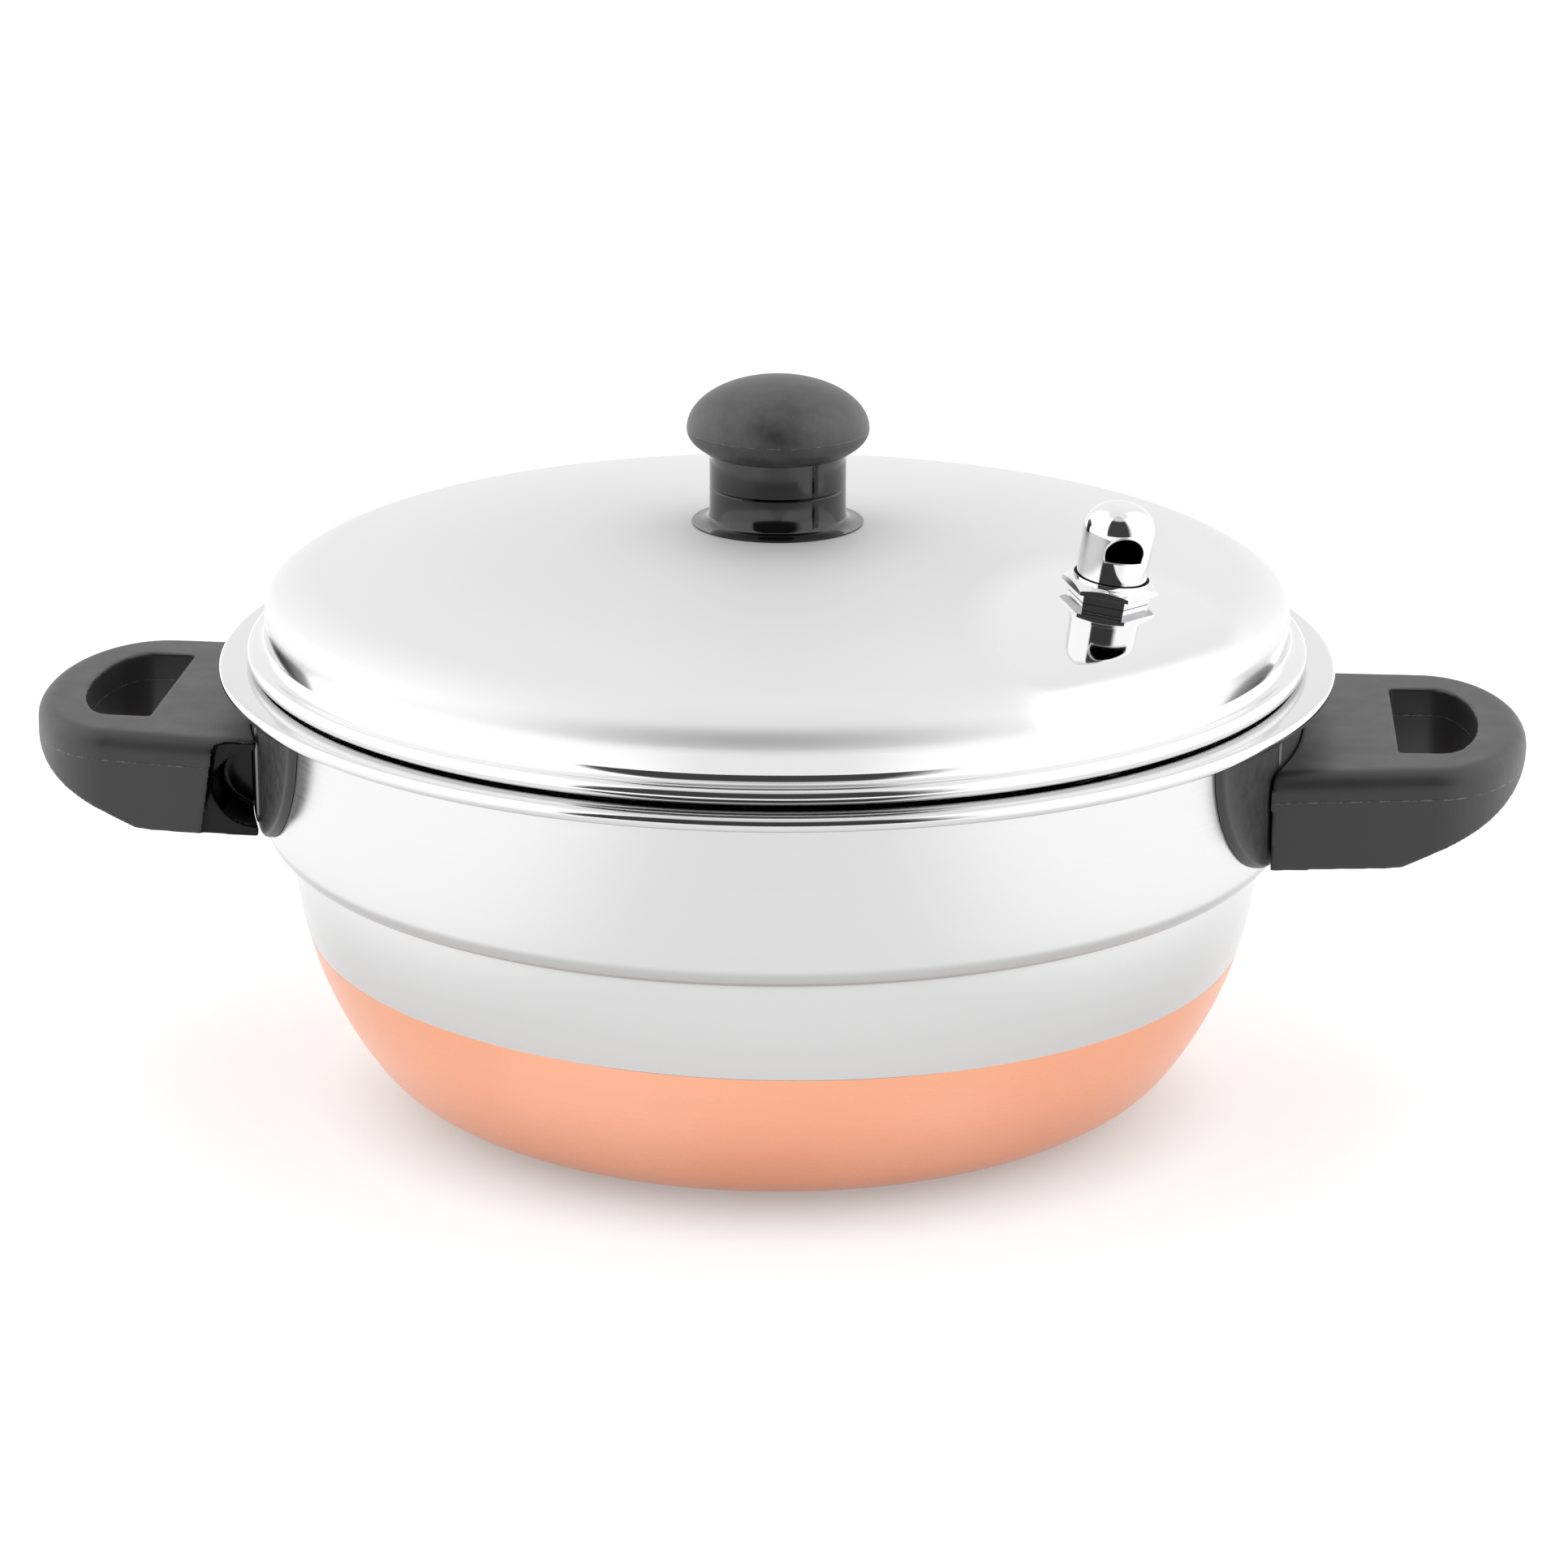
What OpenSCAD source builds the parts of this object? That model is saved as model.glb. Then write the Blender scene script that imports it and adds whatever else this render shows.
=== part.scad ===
// Idli steamer: a stepped stainless pot with a plated copper base and two moulded side
// handles, a domed lid with a mushroom knob and a steam vent, and a lift-out stack of two
// idli plates that sits on the ledge inside the pot.
// Millimetres. The origin is on the pot's axis where it stands, +Z is up, and the handles
// lie along X. The viewer of the object stands on the -Y side.

/* [Pot] */
// Outside diameter over the curled rim
rim_d = 260.8; // [252:0.2:270]
// Height of the pot from the floor to the top of its rim
pot_h = 102.9; // [98:0.1:110]
// Width of the flange from the wall to the rim's outer edge
flange_w = 9.6; // [8.5:0.1:11]
// Step inwards from the wall to the bowl below the ledge
ledge_step = 6.5; // [6:0.1:7.5]
// Height of the wall, from the rim down to the ledge where the bowl steps in
wall_h = 41.8; // [39:0.1:45]
// Thickness of the stainless sheet
sheet_t = 0.9; // [0.7:0.05:1.1]
// Radius of the bowl's bulging side, seen from the side
bulge_r = 86.5; // [82:0.5:94]
// Radius of the corner between the bowl's side and its flat bottom
base_corner_r = 22; // [18:0.5:28]
// Diameter of the curl round the rim
curl_d = 3.2; // [2.8:0.1:3.6]

/* [Copper base] */
// Height of the copper plating's edge on the pot's axis
plating_z = 37.2; // [30:0.1:42]
// Slant of the plating's edge, in degrees
plating_tilt = 0.87; // [0:0.01:2]
// Direction in which that edge is lowest, in degrees from the right handle
plating_turn = 28; // [-60:1:60]
// Thickness of the copper
copper_t = 0.4; // [0.3:0.05:0.45]

/* [Lid] */
// How far the lid's upright wall stands in from the pot's wall
lid_step = 1.3; // [1:0.1:2]
// Diameter of the bead round the lid's edge
bead_d = 3.8; // [3.4:0.1:4.2]
// Height of the lid from the middle of its bead to its crown
lid_rise = 28.3; // [26:0.1:32]
// Radius of the lid's shallow dome
dome_r = 585; // [520:5:640]
// Radius of the bend from the dome down to the shoulder
brow_r = 25; // [20:0.5:30]
// Radius of the shoulder between dome and wall
shoulder_r = 6.3; // [5:0.1:8]

/* [Knob] */
// Diameter of the knob's stem
stem_d = 31.8; // [28:0.2:34]
// Diameter of the mushroom cap at its widest
cap_d = 42.4; // [38:0.2:46]
// Height of the collar between the lid and the cap's stem
collar_h = 8.4; // [7:0.1:10]
// Height of the stem that is part of the cap, up to the cap's widest line
cap_stem_h = 13.6; // [12:0.1:16]
// Height of the cap's crown above its widest line
crown_h = 12; // [10:0.1:14]
// Radius of the collar's thin foot on the lid
foot_r = 20; // [18:0.1:22]

/* [Steam vent] */
// Distance of the vent's axis from the lid's wall
vent_edge_l = 34; // [30:0.5:38]
// Direction of the vent from the lid's axis, in degrees from the right handle
vent_angle = -25; // [-40:1:-15]
// Outside diameter of the vent's cap
vent_cap_d = 16; // [15.4:0.1:16.4]
// Height of the vent above the lid
vent_h = 21.8; // [20.6:0.1:24]
// Width of the vent's side hole
vent_hole_d = 9; // [7:0.1:9.4]
// Turn of the side hole away from straight out, in degrees
vent_turn = -50; // [-80:1:0]

/* [Handles] */
// Reach of a handle from the rim's edge to its tip
handle_reach = 45.4; // [43:0.1:48]
// Half the width of a handle's grip at the pot's wall
grip_half_w = 43.2; // [41:0.1:45]
// Angle at which each of the grip's flanks narrows outwards, in degrees
grip_taper = 4.6; // [3:0.1:6]
// Drop from the top of the pot's rim to the grips' underside at its wall
grip_drop = 37.5; // [36:0.1:39]
// Thickness of the grips from their underside to their flat top
grip_h = 23; // [22.4:0.1:24]
// Angle at which the grips rise outwards, in degrees
grip_incline = 1.6; // [0:0.1:3]
// Thickness of the guard between a grip and the wall
saddle_t = 1.8; // [1.7:0.1:2.4]
// Half the length of the finger hole across the grip
slot_half_w = 25.5; // [22:0.1:27]
// Width of the finger hole from its flat side to its round side
slot_w = 19.2; // [17:0.1:20]

/* [Idli plates] */
// Gap all round between a plate and the inside of the pot's wall
plate_gap = 3.1; // [2.6:0.1:3.6]
// Thickness of the plate sheet
plate_t = 0.8; // [0.6:0.05:1]
// Number of cups in a plate
cup_count = 6; // [5:1:6]
// Least width of the plate between neighbouring cups
cup_web = 12; // [10:0.5:16]
// Width of the plate between a cup and the plate's edge
cup_margin = 8.8; // [8:0.1:11]
// Depth of a cup
cup_depth = 14; // [12:0.5:15]
// Height from one plate to the next
plate_pitch = 34; // [32:0.5:35]
// Diameter of the centre rod
rod_d = 6; // [5:0.5:7]

/* [Hidden] */

// Colours
steel_colour = [0.86, 0.87, 0.88];
copper_colour = [0.91, 0.64, 0.52];
moulded_colour = [0.24, 0.24, 0.25];
gloss_colour = [0.12, 0.12, 0.13];
screw_colour = [0.72, 0.73, 0.75];
brass_colour = [0.80, 0.66, 0.34];
silicone_colour = [0.80, 0.80, 0.78];

// Clearances and the overrun of every cut
seat_gap = 0.1;        // between pieces fixed to each other
run_gap = 0.3;         // between pieces that lift apart
thread_gap = 0.05;     // between a screw and its nut or insert
cut_over = 1;          // how far a cut runs past what it cuts
arc_tol = 0.03;        // how far a round outline may stray from its arc
round_fn = 96;
small_fn = 40;
hex_fn = 6;
quarter = 90;
half_turn = 180;

// Bends of the pot's sheet, on the outside face unless said
rim_bend_r = 1.2;      // under the rim's flange
ledge_fillet_r = 1.2;  // where the bowl turns out to the ledge
ledge_round_r = 4.5;   // where the ledge turns up to the wall
curl_sweep = 255;      // degrees of the rim's curl
plating_gap = 0.25;    // groove between copper and steel along the plating's edge

// Pot radii and heights along the middle of the sheet
rim_r = rim_d / 2;
wall_r = rim_r - flange_w;
bowl_r = wall_r - ledge_step;
wall_mid_r = wall_r - sheet_t / 2;
bowl_mid_r = bowl_r - sheet_t / 2;
curl_mid_r = curl_d / 2 - sheet_t / 2;
flange_mid_z = pot_h - sheet_t / 2;
rim_bend_mid_r = rim_bend_r + sheet_t / 2;
ledge_z = pot_h - wall_h;
ledge_mid_z = ledge_z + sheet_t / 2;
fillet_mid_r = ledge_fillet_r + sheet_t / 2;
round_mid_r = ledge_round_r - sheet_t / 2;
bulge_c = [bowl_r - bulge_r, ledge_z - ledge_fillet_r];
base_turn = acos((bulge_c[1] - base_corner_r) / (bulge_r - base_corner_r));
base_flat_r = bulge_c[0] + (bulge_r - base_corner_r) * sin(base_turn);
ledge_top_z = ledge_z + sheet_t;

// Lid radii and heights. The bead rests on the flange inside the pot's rim
bead_r = bead_d / 2;
lid_wall_r = wall_r - lid_step;
lid_flare_mid_r = 2.85;
bead_mid_r = bead_r - sheet_t / 2;
bead_sweep = 290;
bead_x = lid_wall_r - sheet_t / 2 + lid_flare_mid_r;
bend_x = wall_mid_r + rim_bend_mid_r;
bend_z = flange_mid_z - rim_bend_mid_r;
bead_z = pot_h + run_gap + bead_r;
crown_z = bead_z + lid_rise;
dome_c = [0, crown_z - dome_r];
shoulder_turn = 55;      // degrees above level at which the shoulder begins
shoulder_x = lid_wall_r - shoulder_r;
brow_x = shoulder_x - (brow_r - shoulder_r) * cos(shoulder_turn);
brow_z = dome_c[1] + sqrt(pow(dome_r - brow_r, 2) - pow(brow_x, 2));
brow_turn = acos(brow_x / (dome_r - brow_r));
shoulder_z = brow_z + (brow_r - shoulder_r) * sin(shoulder_turn);
knob_hole_r = 2.9;
knob_hole_turn = acos(knob_hole_r / dome_r);

// Knob
stem_r = stem_d / 2;
cap_r = cap_d / 2;
foot_rise = 1.8;         // height of the foot where it leaves the stem
foot_edge_t = 0.25;
under_cap_h = 8.6;       // half height of the oval that rounds the cap underneath
joint_chamfer = 0.35;    // edge break where collar and cap meet
cap_low_z = crown_z + collar_h;
cap_mid_z = cap_low_z + cap_stem_h;
cap_steps = 18;
insert_d = 9;
insert_l = 12;
insert_groove = 0.6;
insert_low_gap = 1.2;
thread_in_share = 0.9;   // how much of an insert its screw fills
screw_d = 5;
screw_head_d = 9.6;
screw_head_h = 3;
screw_slot_w = 1.2;
screw_slot_h = 1.4;
knob_washer_d = 14;
knob_washer_t = 1.2;

// Steam vent, measured along its own axis from the lid's outer face
vent_r = lid_wall_r - vent_edge_l;
vent_tilt = asin(vent_r / dome_r);
vent_hex_corner_d = 18.6;
vent_hex_turn = 8;       // of the hexagons, away from the side hole
vent_hex_h = 2.1;
vent_lip_corner_d = 22;
vent_lip_h = 0.9;
vent_cone_h = 1.1;
vent_ring_d = 17.2;
vent_ring_h = 0.9;
vent_wall_t = 1;
vent_dome_fillet = 6.2;
vent_hole_share = 0.55;     // height of the side hole's middle, of the vent's height
vent_tube_under_share = 0.18; // how far the flat edge lies under the hole's middle, of its width
vent_bore_d = 5;
vent_thread_d = 10;
vent_thread_l = 9;
vent_nut_corner_d = 17;
vent_nut_h = 4;
vent_gasket_d = 18;
vent_gasket_t = 1.5;
vent_base_h = vent_hex_h + vent_lip_h + vent_cone_h + vent_ring_h;
vent_hole_z = vent_h * vent_hole_share;
vent_flat_z = vent_hole_z - vent_hole_d * vent_tube_under_share;
vent_under = sheet_t + seat_gap;

// Handles: the wall and the guard, measured outwards from the pot's axis along X
grip_reach = rim_r + handle_reach;
saddle_in_r = wall_r + seat_gap;
saddle_out_r = saddle_in_r + saddle_t;
backplate_t = 0.5;
backplate_in_r = saddle_out_r + thread_gap;
backplate_out_r = backplate_in_r + backplate_t;
grip_root_r = backplate_out_r + seat_gap;
grip_low_z = pot_h - grip_drop;
saddle_h = 32.8;         // height of the guard
saddle_round_h = 24.8;   // height of its rounded lower part
saddle_wing_w = 21.8;    // how far the guard goes past the grip at each side
saddle_lean_w = 0.5;     // how far its side leans in, down to the rounded part
saddle_flat_half_w = 18;
saddle_top_half_w = grip_half_w + saddle_wing_w;
saddle_mid_half_w = saddle_top_half_w - saddle_lean_w;
saddle_top_z = grip_low_z + saddle_h;
saddle_mid_z = grip_low_z + saddle_round_h;
backplate_inset = 6.2;   // from the grip's flank
backplate_half_w = grip_half_w - backplate_inset;
backplate_rise = 2.3;    // above the grip's underside, as all rises below
backplate_h = 27.5;
backplate_low_z = grip_low_z + backplate_rise;
backplate_top_z = backplate_low_z + backplate_h;

// Handles: the grip. Lengths run from its tip inwards
grip_top_z = grip_low_z + grip_h;
grip_end_l = 24;         // length of the rounded end
grip_end_share = 0.97;   // bluntness of the rounded end, 1 for an oval
grip_end_x = grip_reach - grip_end_l;
grip_end_half_w = grip_half_w - (grip_end_x - wall_r) * tan(grip_taper);
grip_nose_rise = 18.6;   // the tip
grip_seam_rise = 16.4;   // the moulding seam, the widest line
grip_top_round = 4;
grip_draft_low = 0.9;    // how far the flank leans in from the seam to the underside
grip_draft_top = 0.3;
grip_slope_l = 30.5;     // where the sloping underside starts
grip_curve_l = 13;       // where the slope starts to curl up
grip_curve_rise = 7.7;
grip_curl_pull_l = 1.2;
grip_curl_pull_rise = 13.1;
grip_steps = 16;
slot_tip_l = 12;         // of the finger hole's round side
slot_far_x = grip_reach - slot_tip_l;
slot_round_l = 9.6;
slot_near_x = slot_far_x - slot_w;

// Handles: the shallow relief in one flank and the deep core-out in it, outwards from the wall
relief_low_l = 9.1;      // at the underside
relief_top_l = 5.3;      // at the relief's top
relief_h = 22.4;
relief_deep = 2.2;
core_out_l = 5.7;
core_out_rise = 3.8;
core_out_h = 15.6;
core_out_floor_n = 29;   // of the core-out's floor, from the handle's middle

// Handles: the welded bracket, its tongue and the screw that goes up through it
handle_screw_l = 8.2;
handle_screw_x = wall_r + handle_screw_l;
screw_well_d = 11;
screw_well_deep = 6;
handle_washer_t = 1;
handle_washer_d = 9.8;
handle_insert_l = 7;
handle_insert_rise = 2.2;   // of the insert above the tongue
bracket_t = 1;
bracket_rise = 4.8;
bracket_h = 15;
bracket_low_z = grip_low_z + bracket_rise;
bracket_top_z = bracket_low_z + bracket_h;
bracket_inset = 4;       // from the backplate's edge
bracket_foot_half_w = backplate_half_w - bracket_inset;
tongue_rise = 10.8;
tongue_low_z = grip_low_z + tongue_rise;
tongue_half_w = 11;
tongue_l = 15.2;
tongue_end_x = wall_r + tongue_l;
tongue_fold_r = 1.5;
insert_low_z = tongue_low_z + bracket_t + handle_insert_rise;
well_top_z = grip_low_z + screw_well_deep;
handle_head_z = well_top_z - handle_washer_t;

// Idli stack
plate_r = wall_r - sheet_t - plate_gap;
plate_z = ledge_top_z + run_gap;
plate_lip_h = 4;
plate_lip_bend_r = 1.5;
cup_land = 2.5;          // flat ring round a cup that joins it to the plate
cup_half_turn = half_turn / cup_count;   // half the angle from one cup to the next
cup_ring_r = (plate_r - cup_margin + cup_web / 2) / (1 + sin(cup_half_turn));
cup_r = plate_r - cup_margin - cup_ring_r;
cup_sphere_r = (pow(cup_r, 2) + pow(cup_depth, 2)) / (2 * cup_depth);
steam_hole_d = 3;
steam_hole_ring_share = 0.5;
steam_holes = 4;
rod_clear = 0.2;
rod_nut_corner_d = 11.5;
rod_nut_h = 5;
rod_low_over = 4;
stack_washer_d = 16;
stack_washer_t = 1;
spacer_d = 11;
wing_hub_d = 13;
wing_hub_h = 9;
wing_span = 34;
wing_t = 3;
wing_rise = 8;
wing_tip_r = 6;
rod_top_over = 3;
upper_plate_z = plate_z + plate_pitch;
wing_z = upper_plate_z + plate_t + stack_washer_t + run_gap;

// Points of an arc about c, as many as its radius needs
function arc(c, r, from, to) =
    let (n = max(2, ceil(abs(to - from) / (2 * acos(1 - arc_tol / r)))))
    [for (i = [0:n]) let (a = from + (to - from) * i / n) c + r * [cos(a), sin(a)]];

// Points of a quarter or part of an oval about c
function oval(c, rx, ry, from, to, n, blunt = 1) =
    [for (i = [0:n]) let (a = from + (to - from) * i / n)
        c + [rx * sign(cos(a)) * pow(abs(cos(a)), blunt), ry * sign(sin(a)) * pow(abs(sin(a)), blunt)]];

// Points of a curve from a to c that leaves and arrives pulled towards b
function pulled(a, b, c, n) =
    [for (i = [0:n]) let (s = i / n) pow(1 - s, 2) * a + 2 * s * (1 - s) * b + pow(s, 2) * c];

// Several runs of points as one path, without the doubled joints
function chain(runs) =
    [for (k = [0:len(runs) - 1]) for (i = [(k == 0 ? 0 : 1):len(runs[k]) - 1]) runs[k][i]];

function along(p, i) =
    let (d = p[min(i + 1, len(p) - 1)] - p[max(i - 1, 0)]) d / norm(d);

// The path moved sideways by d, to the left where d is positive
function beside(p, d) =
    [for (i = [0:len(p) - 1]) let (u = along(p, i)) [max(0, p[i][0] - d * u[1]), p[i][1] + d * u[0]]];

function backwards(p) = [for (i = [len(p) - 1:-1:0]) p[i]];

// Closed outline between two faces beside a path
function between(p, d0, d1) = concat(beside(p, d1), backwards(beside(p, d0)));

function dome_z(r) = dome_c[1] + sqrt(pow(dome_r, 2) - pow(r, 2));

// Middle of the pot's sheet: flat bottom, corner and bulging side of the bowl
bowl_path = chain([
    [[0, sheet_t / 2], [base_flat_r - sheet_t, sheet_t / 2], [base_flat_r, sheet_t / 2]],
    arc([base_flat_r, base_corner_r], base_corner_r - sheet_t / 2, -quarter, base_turn - quarter),
    arc(bulge_c, bulge_r - sheet_t / 2, base_turn - quarter, 0)
]);

// Middle of the sheet from the bowl over the ledge, wall and flange to the curl
pot_path = chain([
    bowl_path,
    arc([bowl_mid_r + fillet_mid_r, ledge_mid_z - fillet_mid_r], fillet_mid_r, half_turn, quarter),
    arc([wall_mid_r - round_mid_r, ledge_mid_z + round_mid_r], round_mid_r, -quarter, 0),
    arc([bend_x, bend_z], rim_bend_mid_r, half_turn, quarter),
    arc([rim_r - curl_d / 2, pot_h - curl_d / 2], curl_mid_r, quarter, quarter - curl_sweep)
]);

// Middle of the lid's sheet from the knob's hole to the bead
lid_path = chain([
    arc(dome_c, dome_r - sheet_t / 2, knob_hole_turn, brow_turn),
    arc([brow_x, brow_z], brow_r - sheet_t / 2, brow_turn, shoulder_turn),
    arc([shoulder_x, shoulder_z], shoulder_r - sheet_t / 2, shoulder_turn, 0),
    arc([bead_x, bead_z + bead_mid_r + lid_flare_mid_r], lid_flare_mid_r, half_turn, half_turn + quarter),
    arc([bead_x, bead_z], bead_mid_r, quarter, quarter - bead_sweep)
]);

// Everything below the slanting edge of the plating, less a drop
module below_plating_edge(drop) {
    translate([0, 0, plating_z - drop]) rotate([0, 0, plating_turn]) rotate([0, plating_tilt, 0])
        translate([-rim_d, -rim_d, -2 * pot_h]) cube([2 * rim_d, 2 * rim_d, 2 * pot_h]);
}

module pot_shell() color(steel_colour) {
    difference() {
        rotate_extrude($fn = round_fn) polygon(between(pot_path, -sheet_t / 2, sheet_t / 2));
        intersection() {
            rotate_extrude($fn = round_fn)
                polygon(between(bowl_path, -sheet_t / 2 - cut_over, copper_t - sheet_t / 2));
            below_plating_edge(0);
        }
    }
}

module copper_base() color(copper_colour) {
    intersection() {
        rotate_extrude($fn = round_fn) polygon(between(bowl_path, -sheet_t / 2, copper_t - sheet_t / 2));
        below_plating_edge(plating_gap);
    }
}

// Turns a handle's piece to its side of the pot
module at_side(side) rotate([0, 0, side > 0 ? 0 : half_turn]) children();

// A tube round the pot's axis, from r0 to r1 and z0 to z1
module tube(r0, r1, z0, z1) {
    difference() {
        translate([0, 0, z0]) cylinder(r = r1, h = z1 - z0, $fn = round_fn);
        translate([0, 0, z0 - cut_over]) cylinder(r = r0, h = z1 - z0 + 2 * cut_over, $fn = round_fn);
    }
}

// A block from x0 outwards, centred across the handle
module across(x0, x1, half_w, z0, z1) {
    translate([x0, -half_w, z0]) cube([x1 - x0, 2 * half_w, z1 - z0]);
}

// Outline of the guard seen along the handle: upright sides and round lower corners
module saddle_outline() {
    corner = oval([saddle_flat_half_w, saddle_mid_z], saddle_mid_half_w - saddle_flat_half_w,
        saddle_mid_z - grip_low_z, 0, -quarter, grip_steps);
    right = concat([[saddle_top_half_w, saddle_top_z]], corner);
    polygon(concat(right, [for (p = backwards(right)) [-p[0], p[1]]]));
}

// The slot that the bracket's tongue passes through, out to x
module tongue_slot(x) {
    across(0, x, tongue_half_w + run_gap, tongue_low_z - seat_gap, tongue_low_z + bracket_t + seat_gap);
}

module handle_saddle(side) color(moulded_colour) at_side(side) {
    difference() {
        intersection() {
            tube(saddle_in_r, saddle_out_r, grip_low_z, saddle_top_z);
            rotate([quarter, 0, quarter])
                linear_extrude(height = saddle_out_r + cut_over) saddle_outline();
        }
        intersection() {
            tube(saddle_in_r - cut_over, wall_r + thread_gap + bracket_t + seat_gap,
                bracket_low_z - seat_gap, bracket_top_z + seat_gap);
            across(0, saddle_out_r, bracket_foot_half_w + seat_gap,
                bracket_low_z - seat_gap, bracket_top_z + seat_gap);
        }
        tongue_slot(saddle_out_r + cut_over);
    }
}

module handle_backplate(side) color(steel_colour) at_side(side) {
    difference() {
        intersection() {
            tube(backplate_in_r, backplate_out_r, backplate_low_z, backplate_top_z);
            across(0, backplate_out_r + cut_over, backplate_half_w, backplate_low_z, backplate_top_z);
        }
        tongue_slot(backplate_out_r + cut_over);
    }
}

// A welded strip on the wall, with its middle cut on three sides and folded out as a tongue
module handle_bracket(side) color(screw_colour) at_side(side) {
    in_r = wall_r + thread_gap;
    tongue_top_z = tongue_low_z + bracket_t;
    difference() {
        union() {
            difference() {
                intersection() {
                    tube(in_r, in_r + bracket_t, bracket_low_z, bracket_top_z);
                    across(0, rim_r, bracket_foot_half_w, bracket_low_z, bracket_top_z);
                }
                across(0, rim_r, tongue_half_w + run_gap, tongue_top_z, bracket_top_z + cut_over);
            }
            difference() {
                across(wall_r - bracket_t, tongue_end_x, tongue_half_w, tongue_low_z, tongue_top_z);
                cylinder(r = in_r, h = rim_r, $fn = round_fn);
                for (edge = [-1, 1]) translate([tongue_end_x, edge * tongue_half_w, 0])
                    rotate([0, 0, half_turn / 4]) translate([-tongue_fold_r, -tongue_fold_r, 0])
                        cube([2 * tongue_fold_r, 2 * tongue_fold_r, rim_r]);
            }
        }
        translate([handle_screw_x, 0, 0])
            cylinder(d = screw_d + 2 * rod_clear, h = rim_r, $fn = small_fn);
    }
}

// Plan of the grip's blunt round end, widening past the flanks towards the pot
module grip_plan() {
    end = oval([grip_end_x, 0], grip_end_l, grip_end_half_w, quarter, -quarter,
        2 * grip_steps, grip_end_share);
    polygon(concat([[wall_r / 2, 2 * grip_half_w]], end, [[wall_r / 2, -2 * grip_half_w]]));
}

// Side view of the grip: flat top, sloping underside and a nose that curls up
module grip_side() {
    nose_z = grip_low_z + grip_nose_rise;
    polygon(concat(
        [[wall_r / 2, grip_low_z], [grip_reach - grip_slope_l, grip_low_z]],
        pulled([grip_reach - grip_curve_l, grip_low_z + grip_curve_rise],
            [grip_reach - grip_curl_pull_l, grip_low_z + grip_curl_pull_rise],
            [grip_reach, nose_z], grip_steps),
        oval([grip_reach - grip_top_round, nose_z], grip_top_round,
            grip_top_z - nose_z, 0, quarter, grip_steps / 2),
        [[wall_r / 2, grip_top_z]]));
}

// Carries a shape to one flank of the grip, with the flank's widest line along X
module at_flank(edge) {
    translate([wall_r, edge * grip_half_w, 0]) rotate([0, 0, -edge * grip_taper])
        translate([-wall_r, 0, 0]) children();
}

// All that lies inside one flank, which leans in from the seam and has a rounded top edge
module inside_flank(edge) {
    far = 3 * grip_half_w;
    side = concat(
        [[-far, grip_low_z], [-grip_draft_low, grip_low_z], [0, grip_low_z + grip_seam_rise]],
        oval([-grip_draft_top - grip_top_round, grip_top_z - grip_top_round],
            grip_top_round, grip_top_round, 0, quarter, grip_steps / 2),
        [[-far, grip_top_z]]);
    at_flank(edge) rotate([quarter, 0, quarter])
        linear_extrude(height = rim_d) polygon([for (p = side) [edge * p[0], p[1]]]);
}

// Tips a shape up outwards about the line where the grip's underside meets the wall
module inclined() {
    translate([wall_r, 0, grip_low_z]) rotate([0, -grip_incline, 0])
        translate([-wall_r, 0, -grip_low_z]) children();
}

// Outline of the finger hole: flat towards the pot, round outside
module finger_hole() {
    polygon(concat([[slot_near_x, slot_half_w]],
        oval([slot_far_x - slot_round_l, 0], slot_round_l, slot_half_w, quarter, -quarter,
            2 * grip_steps, grip_end_share),
        [[slot_near_x, -slot_half_w]]));
}

module handle_grip(side) color(moulded_colour) at_side(side) {
    low = grip_low_z - cut_over;
    difference() {
        inclined() intersection() {
            translate([0, 0, grip_low_z]) linear_extrude(height = grip_h) grip_plan();
            translate([0, 2 * grip_half_w, 0]) rotate([quarter, 0, 0])
                linear_extrude(height = 2 * 2 * grip_half_w) grip_side();
            inside_flank(-1);
            inside_flank(1);
        }
        cylinder(r = grip_root_r, h = rim_r, $fn = round_fn);
        translate([0, 0, low]) linear_extrude(height = rim_r) finger_hole();
        tongue_slot(tongue_end_x + run_gap);
        flank_cut(relief_deep) polygon([[0, low], [wall_r + relief_low_l, low],
            [wall_r + relief_low_l, grip_low_z], [wall_r + relief_top_l, grip_low_z + relief_h],
            [0, grip_low_z + relief_h]]);
        flank_cut(grip_half_w - core_out_floor_n) translate([0, grip_low_z + core_out_rise])
            square([wall_r + core_out_l, core_out_h]);
        translate([handle_screw_x, 0, low])
            cylinder(d = screw_well_d, h = screw_well_deep + cut_over, $fn = small_fn);
        translate([handle_screw_x, 0, grip_low_z])
            cylinder(d = screw_d + 2 * rod_clear, h = insert_low_z - grip_low_z, $fn = small_fn);
        translate([handle_screw_x, 0, insert_low_z - seat_gap])
            cylinder(d = insert_d + 2 * thread_gap, h = handle_insert_l + 2 * seat_gap, $fn = small_fn);
    }
}

// Cuts a shape, seen from the side, into the grip's far flank, as deep as said
module flank_cut(deep) at_flank(1) {
    translate([0, cut_over, 0]) rotate([quarter, 0, 0])
        linear_extrude(height = deep + cut_over) children();
}

// A slotted round-head screw, its head's seat at z = 0 and its shank going down
module round_screw(length) {
    difference() {
        union() {
            translate([0, 0, -length]) cylinder(d = screw_d, h = length + cut_over, $fn = small_fn);
            rotate_extrude($fn = small_fn) polygon(concat([[0, 0]],
                oval([0, screw_head_h / 3], screw_head_d / 2, screw_head_h * 2 / 3, 0, quarter, cap_steps / 3),
                [[0, 0]]));
            cylinder(d = screw_head_d, h = screw_head_h / 3, $fn = small_fn);
        }
        translate([-screw_head_d, -screw_slot_w / 2, screw_head_h - screw_slot_h])
            cube([2 * screw_head_d, screw_slot_w, screw_slot_h + cut_over]);
    }
}

module both_sides() for (side = [-1, 1]) at_side(side) children();

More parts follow.
